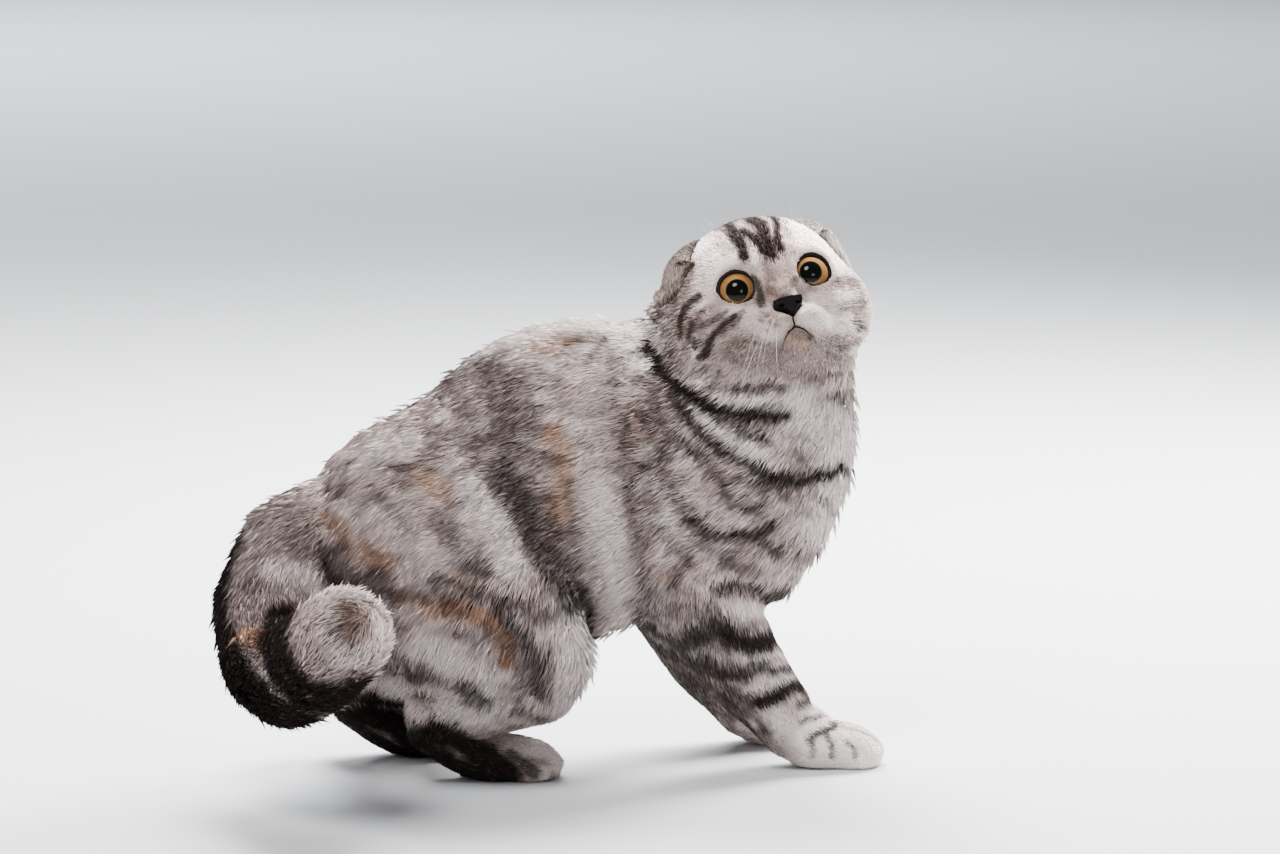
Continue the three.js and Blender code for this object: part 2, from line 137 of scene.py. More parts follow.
# The photograph's camera, in the cat's frame
PHOTO_WIDTH = 1280
PHOTO_HEIGHT = 854
CAMERA_TARGET = np.array((0.0, 0.0, 178.0))
CAMERA_AZIMUTH = -15.0
CAMERA_ELEVATION = 9.0
CAMERA_DISTANCE = 2000.0
FOCAL_PIXELS = 3846.0
SENSOR_WIDTH = 36.0
VIEW_BACK = bearing(CAMERA_AZIMUTH, CAMERA_ELEVATION)
VIEW_TURN = math.radians(CAMERA_AZIMUTH)
VIEW_RIGHT = np.array((math.cos(VIEW_TURN), math.sin(VIEW_TURN), 0.0))
VIEW_UP = np.cross(VIEW_BACK, VIEW_RIGHT)
CAMERA_PLACE = CAMERA_TARGET + CAMERA_DISTANCE * VIEW_BACK


def photo_place(places):
    """Where places in the cat's frame fall in the photograph, in its pixels."""
    away = places - CAMERA_PLACE
    scale = FOCAL_PIXELS / -(away @ VIEW_BACK)
    across = PHOTO_WIDTH / 2 + (away @ VIEW_RIGHT) * scale
    down = PHOTO_HEIGHT / 2 - (away @ VIEW_UP) * scale
    return np.stack((across, down), -1)


# The body's middle lines, each in the direction in which its fur lies

TRUNK_LINE = (
    (80, -10, 220),
    (62, -6, 200),
    (38, -2, 180),
    (5, 0, 165),
    (-40, 0, 156),
    (-90, 0, 142),
    (-128, 0, 130),
    (-156, 0, 112),
)
TAIL_LINE = (
    (-140, 0, 143),
    (-156, 0, 140),
    (-184, -2, 124),
    (-199, -10, 96),
    (-200, -34, 73),
    (-196, -62, 71),
    (-187, -90, 84),
    (-178, -108, 99),
    (-172, -124, 112),
)
LEG_LINES = {
    "foreleg_right": ((26, -31, 100), (45, -32, 60), (64, -34, 33), (74, -34, 19), (112, -34, 8)),
    "foreleg_left": ((23, 31, 100), (40, 27, 60), (55, 22, 33), (65, 22, 19), (103, 22, 8)),
    "hindleg_right": ((-90, -42, 110), (-66, -44, 62), (-115, -24, 38), (-98, -17, 16), (-50, -17, 8)),
    "hindleg_left": ((-99, 42, 110), (-75, 44, 62), (-142, 51, 38), (-125, 44, 16), (-77, 44, 8)),
}

# For each kind of node: its skin's depth under the coat's tips, and its tufts' length, width and lift
COAT_SIZES = {
    "neck": (3.0, 8.6, 0.6, 13),
    "chest": (3.0, 9.0, 0.6, 13),
    "flank": (3.0, 9.4, 0.6, 13),
    "rump": (3.0, 9.4, 0.6, 13),
    "thigh": (3.1, 9.4, 0.6, 14),
    "shank": (2.2, 6.4, 0.56, 13),
    "foreleg_upper": (2.3, 7.0, 0.58, 13),
    "foreleg_lower": (1.6, 4.8, 0.5, 12),
    "forepaw": (0.9, 3.0, 0.38, 11),
    "hindfoot": (1.1, 3.3, 0.4, 12),
    "tail": (3.9, 10.0, 0.62, 24),
    "head": (1.5, 4.0, 0.5, 16),
}
TRUNK = ("neck", "chest", "flank", "rump")
FLESH = [name for name in sorted(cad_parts) if not name.startswith(("eye_", "ear_", "nose"))]


def leg_lines(leg):
    """The middle lines of the right and the left leg."""
    return LEG_LINES[f"{leg}_right"], LEG_LINES[f"{leg}_left"]


def kind_of(node):
    """The row of COAT_SIZES that a node's coat follows."""
    for side in ("_right", "_left"):
        node = node.replace(side, "")
    return "tail" if node.startswith("tail") else node


# What the operators hand on to each other: the finishes, the skin's surface and the room of the nose leather
made = {}


# Numbers on surfaces

NEAREST_BATCH = 20000


def unit(vectors):
    return vectors / np.maximum(np.linalg.norm(vectors, axis=-1, keepdims=True), 1e-9)


def fade(values, start, end):
    """0 before start, 1 past end, and smooth between them."""
    share = np.clip((values - start) / (end - start), 0, 1)
    return share * share * (3 - 2 * share)


def bump(apart, reach):
    """1 in the middle of a soft round form, and next to nothing beyond twice its reach."""
    return np.exp(-((apart / reach) ** 2))


def ripple(places, size, seed, waves=9):
    """Smooth noise from -1 to 1 whose bumps are about size across."""
    draw = np.random.default_rng(seed)
    total = np.zeros(len(places))
    for _ in range(waves):
        way = unit(draw.normal(size=3)) * (FULL_TURN / size) * draw.uniform(0.55, 1.5)
        total += np.sin(places @ way + draw.uniform(0, FULL_TURN))
    return np.clip(total / math.sqrt(waves * 1.1), -1, 1)


def flattened(ways, normals):
    """Ways with what leaves the surface taken out of them."""
    return ways - normals * (ways * normals).sum(1)[:, None]


def line_distance(spots, line):
    """How far flat spots lie from a line through a few points."""
    line = np.array(line, float)
    apart = np.full(len(spots), np.inf)
    for start, end in zip(line[:-1], line[1:]):
        way = end - start
        share = np.clip((spots - start) @ way / (way @ way), 0, 1)
        apart = np.minimum(apart, np.linalg.norm(spots - start - share[:, None] * way, axis=1))
    return apart


def vertex_places(mesh):
    """A mesh's vertices, as it holds them."""
    places = np.empty(len(mesh.vertices) * 3)
    mesh.vertices.foreach_get("co", places)
    return places.reshape(-1, 3)


def mesh_arrays(piece):
    """A piece's vertices in the cat's frame, its triangles and its edges."""
    mesh = piece.data
    mesh.calc_loop_triangles()
    triangles = np.empty(len(mesh.loop_triangles) * 3, np.int64)
    mesh.loop_triangles.foreach_get("vertices", triangles)
    edges = np.empty(len(mesh.edges) * 2, np.int64)
    mesh.edges.foreach_get("vertices", edges)
    return from_row(vertex_places(mesh)), triangles.reshape(-1, 3), edges.reshape(-1, 2)


def put_places(piece, places):
    piece.data.vertices.foreach_set("co", to_row(places).ravel())
    piece.data.update()


def outward(places, triangles):
    """The surface's normal at each vertex."""
    corners = places[triangles]
    flat = np.cross(corners[:, 1] - corners[:, 0], corners[:, 2] - corners[:, 0])
    total = np.zeros_like(places)
    for axis in range(3):
        for corner in range(3):
            total[:, axis] += np.bincount(triangles[:, corner], flat[:, axis], len(places))
    return unit(total)


def spread(values, edges, rounds, share=0.5, back=None):
    """Values at vertices, evened out along the edges. A backward share keeps the volume."""
    flat = values.ndim == 1
    values = values[:, None] if flat else values
    size = len(values)
    near = np.bincount(edges[:, 0], minlength=size) + np.bincount(edges[:, 1], minlength=size)
    near = np.maximum(near, 1)[:, None]
    for turn in range(rounds):
        total = np.empty_like(values)
        for k in range(values.shape[1]):
            total[:, k] = np.bincount(edges[:, 0], values[edges[:, 1], k], size)
            total[:, k] += np.bincount(edges[:, 1], values[edges[:, 0], k], size)
        step = share if back is None or turn % 2 == 0 else back
        values = values + step * (total / near - values)
    return values[:, 0] if flat else values


def line_points(line, steps=24):
    """Points and directions close together along a smooth curve through a few points."""
    line = np.array(line, float)
    padded = np.vstack((2 * line[0] - line[1], line, 2 * line[-1] - line[-2]))
    t = np.linspace(0, 1, steps, endpoint=False)[:, None]
    points = []
    for i in range(1, len(padded) - 2):
        a, b, c, d = padded[i - 1 : i + 3]
        start = 2 * b + (c - a) * t
        points.append(0.5 * (start + (2 * a - 5 * b + 4 * c - d) * t**2 + (3 * b - a - 3 * c + d) * t**3))
    points = np.vstack((*points, line[-1:]))
    return points, unit(np.gradient(points, axis=0))


def nearest_on(line, places):
    """For each place: the line's direction beside it, the share of the line before it, and its way out."""
    points, ways = line_points(line)
    gone = np.concatenate(((0,), np.cumsum(np.linalg.norm(np.diff(points, axis=0), axis=1))))
    best = np.zeros(len(places), np.int64)
    for start in range(0, len(places), NEAREST_BATCH):
        part = places[start : start + NEAREST_BATCH]
        apart = ((part[:, None, :] - points[None]) ** 2).sum(-1)
        best[start : start + NEAREST_BATCH] = apart.argmin(1)
    return ways[best], gone[best] / gone[-1], unit(places - points[best])


# Blender's own tools


def deselect_all():
    bpy.ops.object.select_all(action="DESELECT")


def only(piece):
    """Makes a piece the one selected and active object."""
    deselect_all()
    piece.select_set(True)
    bpy.context.view_layer.objects.active = piece


def named(piece, name):
    piece.name = name
    piece.data.name = name
    return piece


def edited(piece, *steps):
    """Runs mesh operators on the whole of a piece, each given with its settings."""
    only(piece)
    bpy.ops.object.mode_set(mode="EDIT")
    bpy.ops.mesh.select_all(action="SELECT")
    for operator, settings in steps:
        operator(**settings)
    bpy.ops.object.mode_set(mode="OBJECT")


def welded_copy(nodes, name):
    """One mesh with copies of these CAD nodes, their loose triangles merged."""
    deselect_all()
    for node in nodes:
        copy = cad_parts[node].copy()
        copy.data = copy.data.copy()
        copy.parent = None
        for key in [k for k in copy.keys() if k.startswith("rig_")]:
            del copy[key]
        bpy.context.collection.objects.link(copy)
        copy.select_set(True)
        bpy.context.view_layer.objects.active = copy
    if len(nodes) > 1:
        bpy.ops.object.join()
    piece = named(bpy.context.object, name)
    piece.data.materials.clear()
    edited(piece, (bpy.ops.mesh.remove_doubles, {"threshold": 0.000001}))
    return piece


def remeshed(piece, voxel):
    """Even quads over the piece's outside."""
    only(piece)
    modifier = piece.modifiers.new("Remesh", "REMESH")
    modifier.mode = "VOXEL"
    modifier.voxel_size = voxel * MM
    bpy.ops.object.modifier_apply(modifier=modifier.name)


def keep_largest(piece):
    """Drops every loose scrap of a mesh."""
    name = piece.name
    edited(piece, (bpy.ops.mesh.separate, {"type": "LOOSE"}))
    parts = sorted(bpy.context.selected_objects, key=lambda part: len(part.data.vertices))
    for scrap in parts[:-1]:
        bpy.data.objects.remove(scrap)
    return named(parts[-1], name)


def split_faces(piece, chosen):
    """Subdivides the faces whose middle the test chooses."""
    only(piece)
    mesh = piece.data
    middles = np.empty(len(mesh.polygons) * 3)
    mesh.polygons.foreach_get("center", middles)
    picked = chosen(from_row(middles.reshape(-1, 3)))
    mesh.vertices.foreach_set("select", np.zeros(len(mesh.vertices), bool))
    mesh.edges.foreach_set("select", np.zeros(len(mesh.edges), bool))
    mesh.polygons.foreach_set("select", picked)
    bpy.ops.object.mode_set(mode="EDIT")
    bpy.ops.mesh.select_mode(type="FACE")
    bpy.ops.mesh.subdivide(number_cuts=1)
    bpy.ops.object.mode_set(mode="OBJECT")


def mesh_piece(name, places, triangles):
    """A new piece from arrays of places in the cat's frame and triangles."""
    mesh = bpy.data.meshes.new(name)
    mesh.vertices.add(len(places))
    mesh.vertices.foreach_set("co", to_row(places).astype(np.float32).ravel())
    mesh.loops.add(triangles.size)
    mesh.loops.foreach_set("vertex_index", triangles.astype(np.int32).ravel())
    mesh.polygons.add(len(triangles))
    mesh.polygons.foreach_set("loop_start", np.arange(0, triangles.size, 3, dtype=np.int32))
    mesh.update(calc_edges=True)
    mesh.validate()
    piece = bpy.data.objects.new(name, mesh)
    bpy.context.collection.objects.link(piece)
    return piece


def put_values(piece, values):
    """Numbers at each vertex, by their names, which the materials read."""
    for name, numbers in values.items():
        attribute = piece.data.attributes.new(name, "FLOAT", "POINT")
        attribute.data.foreach_set("value", np.asarray(numbers, np.float32))


def finish_piece(piece, material, nodes=()):
    """Gives a piece its finish and its place on the body, and hides the CAD nodes that it stands for."""
    piece.data.materials.clear()
    piece.data.materials.append(material)
    only(piece)
    bpy.ops.object.shade_smooth()
    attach(piece, "root")
    if nodes:
        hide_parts(*nodes)


# Materials

MARKS = ("agouti", "tan", "cream", "charcoal")
SPECULAR = "Specular IOR Level"


class Nodes:
    """Short calls for adding and joining the nodes of one tree."""

    def __init__(self, tree):
        self.tree = tree

    def feed(self, node, key, value):
        """Links an output to an input, or sets the input to a plain value."""
        if isinstance(value, bpy.types.NodeSocket):
            self.tree.links.new(value, node.inputs[key])
        else:
            node.inputs[key].default_value = value

    def add(self, kind, values=None, **settings):
        node = self.tree.nodes.new(kind)
        for key, value in settings.items():
            setattr(node, key, value)
        for key, value in (values or {}).items():
            self.feed(node, key, value)
        return node

    def spot(self):
        return self.add("ShaderNodeTexCoord").outputs["Object"]

    def value(self, name):
        return self.add("ShaderNodeAttribute", attribute_name=name).outputs["Fac"]

    def maths(self, operation, a, b):
        return self.add("ShaderNodeMath", {0: a, 1: b}, operation=operation).outputs[0]

    def mix(self, share, a, b, blend="MIX"):
        values = {0: share, 6: a, 7: b}
        return self.add("ShaderNodeMix", values, data_type="RGBA", blend_type=blend).outputs[2]

    def ranged(self, value, low, high, start, end):
        """The value moved from one range to another, and held at its ends."""
        values = {0: value, 1: low, 2: high, 3: start, 4: end}
        return self.add("ShaderNodeMapRange", values).outputs[0]

    def noise(self, vector, scale, detail=3.0, roughness=0.55):
        values = {"Vector": vector, "Scale": scale, "Detail": detail, "Roughness": roughness}
        return self.add("ShaderNodeTexNoise", values).outputs["Fac"]

    def relief(self, height, distance, strength):
        values = {"Height": height, "Distance": distance, "Strength": strength}
        return self.add("ShaderNodeBump", values).outputs["Normal"]

    def ramp(self, share, stops):
        node = self.add("ShaderNodeValToRGB", {"Fac": share})
        marks = node.color_ramp.elements
        while len(marks) < len(stops):
            marks.new(0.5)
        for mark, (place, colour) in zip(marks, stops):
            mark.position = place
            mark.color = (*colour, 1.0)
        return node.outputs["Color"]


def new_material(name):
    """A material with its nodes and a way to feed the sockets of its shader."""
    material = bpy.data.materials.new(name)
    material.use_nodes = True
    nodes = Nodes(material.node_tree)
    shader = material.node_tree.nodes["Principled BSDF"]

    def dress(values):
        for key, value in values.items():
            nodes.feed(shader, key, value)

    return material, nodes, dress


def new_group(name, inputs, outputs):
    """A shader node group with its named sockets, given with their kinds."""
    tree = bpy.data.node_groups.new(name, "ShaderNodeTree")
    for way, sockets in (("INPUT", inputs), ("OUTPUT", outputs)):
        for socket, kind in sockets.items():
            tree.interface.new_socket(name=socket, in_out=way, socket_type=f"NodeSocket{kind}")
    nodes = Nodes(tree)
    return tree, nodes, nodes.add("NodeGroupInput").outputs


def coat_colour_group():
    """The coat's colour from its markings, darkened towards each tuft's root as painted shade, shared by the
    skin and the tufts.
    """
    inputs = {f"{name.title()} colour": "Color" for name in ("silver", *MARKS)}
    inputs.update({name.title(): "Float" for name in (*MARKS, "strand", "along")})
    tree, nodes, given = new_group("CoatColour", inputs, {"Colour": "Color"})
    colour = given["Silver colour"]
    for name in MARKS:
        colour = nodes.mix(given[name.title()], colour, given[f"{name.title()} colour"])
    # Each tuft is darker towards its root, as painted shade deep between the locks, and no two tufts are
    # quite the same
    root = nodes.ranged(given["Along"], 0.0, 0.75, 0.5, 1.06)
    strand = nodes.ranged(given["Strand"], 0.0, 1.0, 0.66, 1.26)
    light = nodes.maths("MULTIPLY", root, strand)
    grey = nodes.add("ShaderNodeCombineColor", {0: light, 1: light, 2: light}).outputs[0]
    nodes.add("NodeGroupOutput", {"Colour": nodes.mix(1.0, colour, grey, "MULTIPLY")})
    return tree


def coat_colour(nodes, props, strand, along):
    """The colour group placed in a material, fed from the piece's own markings."""
    values = {f"{name.title()} colour": (*getattr(props, name), 1.0) for name in ("silver", *MARKS)}
    values.update({name.title(): nodes.value(name) for name in MARKS})
    values.update({"Strand": strand, "Along": along})
    return nodes.add("ShaderNodeGroup", values, node_tree=made["coat_colour"]).outputs["Colour"]


def fur_material(props):
    """Tufts: coloured from the markings, soft and hardly glossy."""
    material, nodes, dress = new_material("Fur")
    colour = coat_colour(nodes, props, nodes.value("strand"), nodes.value("along"))
    dress({"Base Color": colour, "Roughness": 0.6, SPECULAR: 0.05})
    return material


def skin_material(props):
    """The undercoat on the skin: the same markings, with a fine felted bump."""
    material, nodes, dress = new_material("Undercoat")
    felt = nodes.noise(nodes.spot(), 900.0, 2.0)
    # The undercoat takes the tufts' painted root shade at a fixed share along the hair
    dress({"Base Color": coat_colour(nodes, props, felt, 0.35), "Roughness": 0.85, SPECULAR: 0.15})
    dress({"Normal": nodes.relief(felt, 0.0006, 0.6)})
    return material


def bare_skin_group():
    """Bare skin's pebbled grain with paler, worn high spots, shared by the nose, the lids and the lips."""
    inputs = {"Place": "Vector", "Colour": "Color", "Worn colour": "Color"}
    inputs |= {"Grain": "Float", "Gloss": "Float"}
    outputs = {"Colour": "Color", "Roughness": "Float", "Height": "Float"}
    tree, nodes, given = new_group("BareSkin", inputs, outputs)
    voronoi = {"Vector": given["Place"], "Scale": given["Grain"]}
    cells = nodes.add("ShaderNodeTexVoronoi", voronoi).outputs["Distance"]
    patch = nodes.noise(given["Place"], nodes.maths("MULTIPLY", given["Grain"], 0.12))
    worn = nodes.mix(nodes.maths("MULTIPLY", patch, cells), given["Colour"], given["Worn colour"])
    dullest = nodes.maths("ADD", given["Gloss"], 0.18)
    rough = nodes.ranged(patch, 0.3, 0.7, given["Gloss"], dullest)
    nodes.add("NodeGroupOutput", {"Colour": worn, "Roughness": rough, "Height": cells})
    return tree


def bare_skin_material(name, colour, gloss, grain):
    """One of the bare parts, with its own colour, gloss and grain."""
    material, nodes, dress = new_material(name)
    worn = tuple(min(1.0, c * 2 + 0.001) for c in colour)
    values = {"Place": nodes.spot(), "Colour": (*colour, 1.0), "Worn colour": (*worn, 1.0)}
    values.update({"Grain": grain, "Gloss": gloss})
    made_of = nodes.add("ShaderNodeGroup", values, node_tree=made["bare_skin"]).outputs
    dress({"Base Color": made_of["Colour"], "Roughness": made_of["Roughness"], SPECULAR: 0.05})
    dress({"Normal": nodes.relief(made_of["Height"], 0.0002, 0.5)})
    return material


def eye_material(props):
    """A copper iris with fibres round a black pupil, under a wet clear coat."""
    material, nodes, dress = new_material("Eye")
    lean = nodes.value("from_gaze")
    fibre = nodes.add("ShaderNodeAttribute", attribute_name="fibre").outputs["Vector"]
    streaks = nodes.noise(fibre, 7.0, 4.0, 0.7)
    clouds = nodes.noise(fibre, 2.2, 2.0)
    wobble = nodes.maths("MULTIPLY", nodes.maths("SUBTRACT", streaks, 0.5), 0.05)
    share = nodes.maths("ADD", lean, wobble)
    copper = tuple(props.iris)
    gold = tuple(min(1.0, c * k) for c, k in zip(copper, (1.0, 1.35, 1.5)))
    deep = tuple(c * 0.45 for c in copper)
    iris = nodes.ramp(share, ((0.0, gold), (0.44, gold), (0.56, copper), (0.78, copper), (0.93, deep)))
    lit = nodes.ramp(streaks, ((0.25, (0.45, 0.42, 0.4)), (0.75, (1.25, 1.25, 1.25))))
    iris = nodes.mix(0.75, iris, lit, "MULTIPLY")
    iris = nodes.mix(nodes.maths("MULTIPLY", clouds, 0.35), iris, (*deep, 1.0))
    pupil_edge = props.pupil_radius / EYE_RADIUS
    past_pupil = nodes.ranged(lean, pupil_edge - 0.012, pupil_edge + 0.03, 0.0, 1.0)
    colour = nodes.mix(past_pupil, (0.002, 0.002, 0.002, 1.0), iris)
    # The dark ring where the iris meets the white
    colour = nodes.mix(nodes.ranged(lean, 0.80, 0.9, 0.0, 0.93), colour, (0.006, 0.004, 0.003, 1.0))
    dress({"Base Color": colour, "Roughness": 0.5, SPECULAR: 0.0})
    dress({"Coat Weight": 0.45, "Coat Roughness": 0.02, "Coat IOR": 1.34})
    return material


def whisker_material():
    material, nodes, dress = new_material("Whisker")
    tip = nodes.ramp(nodes.value("along"), ((0.0, (0.4, 0.38, 0.36)), (0.4, (0.78, 0.77, 0.76))))
    dress({"Base Color": tip, "Roughness": 0.3})
    return material


def floor_material(props):
    material, nodes, dress = new_material("Floor")
    cloud = nodes.noise(nodes.spot(), 1.5, 2.0)
    pale = tuple(c * 0.96 for c in props.floor_colour)
    colour = nodes.mix(cloud, (*props.floor_colour, 1.0), (*pale, 1.0))
    dress({"Base Color": colour, "Roughness": 0.75})
    return material


# Markings: strokes of colour over the coat, each as a line of photograph pixels, the half width of its full
# colour in pixels, and its strength. They are laid from the camera onto the side that it sees, and the same
# strokes mark the far side as its mirror image. A few strokes are painted shade, and two are painted
# highlight;
# a comment by each says so.

FACE_CHARCOAL_AND_SHADE = (
    (((719, 231), (728, 233), (733, 239)), 2.8, 0.8),
    (((727, 219), (733, 229), (738, 240), (743, 248), (746, 258)), 5.2, 1.0),
    (((746, 236), (755, 241), (761, 248), (764, 254), (771, 256)), 3.6, 1.0),
    (((738, 218), (748, 217), (754, 223), (763, 230), (764, 238), (769, 248), (773, 257)), 5.2, 1.0),
    (((768, 216), (775, 220), (778, 228), (777, 237), (778, 246), (782, 253)), 3.2, 1.0),
    (((784, 218), (786, 228), (789, 239)), 2.4, 0.6),
    (((764, 260), (768, 270), (773, 284)), 4.0, 0.38),
    (((753, 280), (758, 287), (762, 296), (763, 304)), 3.4, 0.9),
    (((789, 331), (795, 327), (801, 330), (810, 336)), 1.5, 0.6),
    # Painted shade between the arms of the mouth, under the philtrum
    (((792, 331), (800, 334)), 3.0, 0.45),
    (((796, 281), (790, 289), (786, 293)), 2.4, 0.55),
    (((771, 291), (779, 294), (788, 290)), 4.0, 0.6),
    (((702, 296), (690, 308), (685, 321), (684, 340), (690, 352)), 2.9, 0.92),
    (((738, 316), (730, 322), (720, 331), (713, 340), (711, 351), (698, 356), (686, 350)), 2.7, 0.95),
    (((697, 322), (695, 333), (699, 343)), 2.6, 0.85),
    (((728, 311), (718, 319), (704, 326)), 2.4, 0.7),
    (((745, 311), (738, 322), (726, 334)), 1.8, 0.55),
    (((712, 306), (702, 314)), 1.6, 0.5),
    (((762, 312), (764, 313)), 1.2, 0.5),
    (((768, 314), (770, 315)), 1.2, 0.5),
    (((763, 319), (765, 320)), 1.2, 0.5),
    (((770, 321), (772, 322)), 1.2, 0.5),
    (((777, 323), (779, 324)), 1.2, 0.5),
    (((767, 327), (769, 328)), 1.2, 0.4),
    (((657, 343), (669, 352), (682, 360), (706, 366), (722, 372)), 4.4, 0.9),
    (((739, 384), (752, 381), (766, 380), (789, 383)), 3.2, 0.8),
    (((833, 284), (842, 279), (852, 283)), 3.6, 0.5),
    (((840, 307), (850, 303), (860, 304)), 3.0, 0.5),
    (((852, 322), (858, 327)), 3.6, 0.7),
    (((839, 346), (848, 343), (856, 340)), 2.8, 0.55),
    (((826, 352), (838, 356), (850, 356)), 2.6, 0.4),
    (((824, 225), (832, 231), (836, 238)), 3.0, 0.75),
    (((846, 268), (851, 280)), 2.4, 0.4),
    # Painted shade on the side behind the near ear
    (((664, 288), (662, 318), (664, 345)), 9.0, 0.5),
    # The near ear's fold: partly its dark hair, partly painted shade in the fold
    (((676, 254), (682, 262), (679, 272)), 3.4, 0.6),
)
BODY_CHARCOAL_AND_SHADE = (
    # Painted shade on the side behind the near ear
    (((656, 300), (660, 326), (668, 352)), 9.0, 0.5),
    (((655, 347), (674, 375), (700, 393), (726, 404), (752, 407), (790, 406)), 5.9, 1.00),
    (((706, 396), (724, 408), (746, 422), (771, 434)), 5.6, 0.88),
    (((739, 384), (764, 381), (790, 383)), 3.7, 0.83),
    (((678, 392), (705, 425), (730, 447), (752, 457), (774, 468)), 4.6, 0.94),
    (((774, 469), (790, 473), (812, 471), (843, 460)), 4.9, 0.99),
    (((684, 432), (711, 456), (730, 475), (740, 500), (764, 505)), 4.6, 0.77),
    (((739, 475), (757, 476), (767, 484), (770, 494)), 3.2, 0.66),
    (((812, 484), (823, 491), (833, 501)), 3.4, 0.55),
    (((697, 515), (716, 527), (740, 530), (762, 528), (778, 518)), 5.4, 0.94),
    (((768, 535), (776, 542), (784, 548)), 3.9, 0.77),
    (((734, 560), (748, 560), (762, 566)), 3.9, 0.50),
    (((716, 585), (746, 581), (771, 590), (790, 584)), 4.9, 0.83),
    (((676, 580), (684, 566), (696, 555)), 4.9, 0.72),
    (((704, 531), (712, 540), (720, 546)), 4.1, 0.55),
    (((676, 543), (684, 545)), 4.9, 0.39),
    (((644, 624), (667, 637), (692, 634), (717, 617), (726, 622)), 8.5, 0.92),
    (((726, 624), (734, 634), (749, 638), (766, 634), (782, 626)), 9.5, 1.00),
    (((680, 652), (700, 661), (718, 667), (740, 666), (762, 659)), 6.0, 0.9),
    # Painted shade in the partings between the near forepaw's toes
    (((806, 737), (811, 747), (810, 757)), 1.6, 0.8),
    (((824, 734), (831, 744), (832, 756)), 1.6, 0.8),
    (((845, 741), (852, 748), (853, 758)), 1.4, 0.7),
    (((770, 669), (784, 665)), 3.7, 0.88),
    (((757, 698), (774, 692), (793, 681)), 6.4, 1.00),
    (((797, 704), (806, 693)), 2.4, 0.77),
    (((797, 722), (818, 715)), 2.4, 0.83),
    (((810, 738), (834, 725)), 2.9, 0.94),
    # Painted shade along the near foreleg's back edge, over the far foreleg behind it
    (((694, 672), (728, 700), (748, 734), (762, 756)), 6.1, 0.83),
    (((500, 366), (516, 404), (521, 437), (515, 468)), 13.0, 0.62),
    (((527, 381), (536, 418), (534, 450)), 11.0, 0.5),
    (((512, 470), (532, 500), (546, 532), (560, 562), (576, 590)), 15.0, 0.86),
    (((500, 372), (514, 378), (527, 382)), 7.0, 0.6),
    (((432, 376), (450, 392), (470, 396)), 8.0, 0.4),
    (((440, 430), (470, 440), (500, 470)), 8.0, 0.4),
    (((556, 492), (572, 540), (582, 584)), 5.0, 0.7),
    (((322, 538), (345, 556), (372, 578)), 8.0, 0.5),
    (((448, 520), (464, 540), (480, 566)), 7.0, 0.5),
    (((388, 490), (404, 506), (420, 520)), 6.0, 0.4),
    (((374, 580), (412, 584), (450, 580), (486, 590)), 4.5, 0.45),
    (((488, 616), (514, 640), (528, 664), (522, 700)), 6.0, 0.6),
    (((428, 668), (452, 676), (482, 682), (490, 700)), 5.0, 0.55),
    (((392, 640), (398, 672), (404, 700)), 6.0, 0.4),
    (((690, 352), (676, 372), (664, 392)), 6.1, 0.39),
    (((660, 392), (672, 412), (676, 440)), 6.1, 0.44),
    (((646, 470), (660, 500), (668, 530)), 7.3, 0.39),
    (((664, 600), (690, 604), (712, 600)), 6.1, 0.55),
    (((640, 596), (652, 612), (666, 620)), 6.1, 0.55),
    (((700, 640), (716, 646), (730, 650)), 4.9, 0.44),
    (((716, 682), (738, 690), (752, 704)), 4.9, 0.66),
    (((776, 640), (786, 650)), 3.7, 0.55),
    (((792, 505), (806, 500), (820, 506)), 3.2, 0.39),
    (((790, 552), (800, 548)), 3.7, 0.39),
    (((577, 475), (583, 512), (587, 562)), 4.0, 0.55),
    # The crease between thigh and belly: partly dark fur, partly painted shade
    (((587, 578), (597, 606), (599, 640)), 6.0, 0.9),
    (((633, 418), (636, 475), (643, 519), (652, 566), (650, 600)), 4.9, 0.66),
    (((652, 410), (655, 450), (664, 500)), 3.9, 0.44),
    (((664, 450), (672, 480), (692, 502), (706, 526)), 6.1, 0.55),
    (((618, 394), (630, 432)), 6.1, 0.39),
    (((598, 360), (614, 343)), 2.4, 0.6),
    (((590, 350), (604, 336)), 2.0, 0.45),
    (((423, 384), (452, 376), (481, 370)), 4.0, 0.5),
    (((398, 405), (420, 402)), 4.0, 0.4),
    (((436, 453), (452, 440), (466, 434), (481, 450)), 6.5, 0.55),
    (((470, 404), (484, 420), (490, 440)), 7.0, 0.4),
    (((372, 504), (382, 494), (391, 491)), 5.0, 0.5),
    (((404, 479), (420, 482)), 3.6, 0.55),
    (((306, 521), (318, 542), (334, 554), (341, 578)), 7.0, 0.72),
    (((337, 543), (350, 536)), 5.0, 0.6),
    (((359, 581), (376, 570), (392, 565), (404, 587)), 5.5, 0.6),
    (((461, 523), (477, 549), (484, 578)), 7.0, 0.55),
    (((442, 571), (466, 578), (487, 587), (519, 594), (538, 607)), 4.2, 0.75),
    (((500, 600), (522, 622), (534, 648), (545, 684)), 7.0, 0.85),
    (((468, 678), (478, 684), (488, 693)), 5.5, 0.85),
    (((452, 620), (470, 624), (486, 634)), 3.0, 0.3),
    (((410, 736), (436, 728), (462, 738), (484, 756), (506, 776)), 13.0, 1.0),
    (((430, 752), (452, 766), (484, 778)), 11.0, 1.0),
    (((508, 756), (520, 764), (534, 773)), 5.5, 0.85),
    (((398, 690), (404, 712)), 7.0, 0.6),
    (((424, 380), (380, 410), (330, 452)), 3.0, 0.25),
    (((545, 640), (552, 664), (551, 690)), 4.5, 0.65),
)
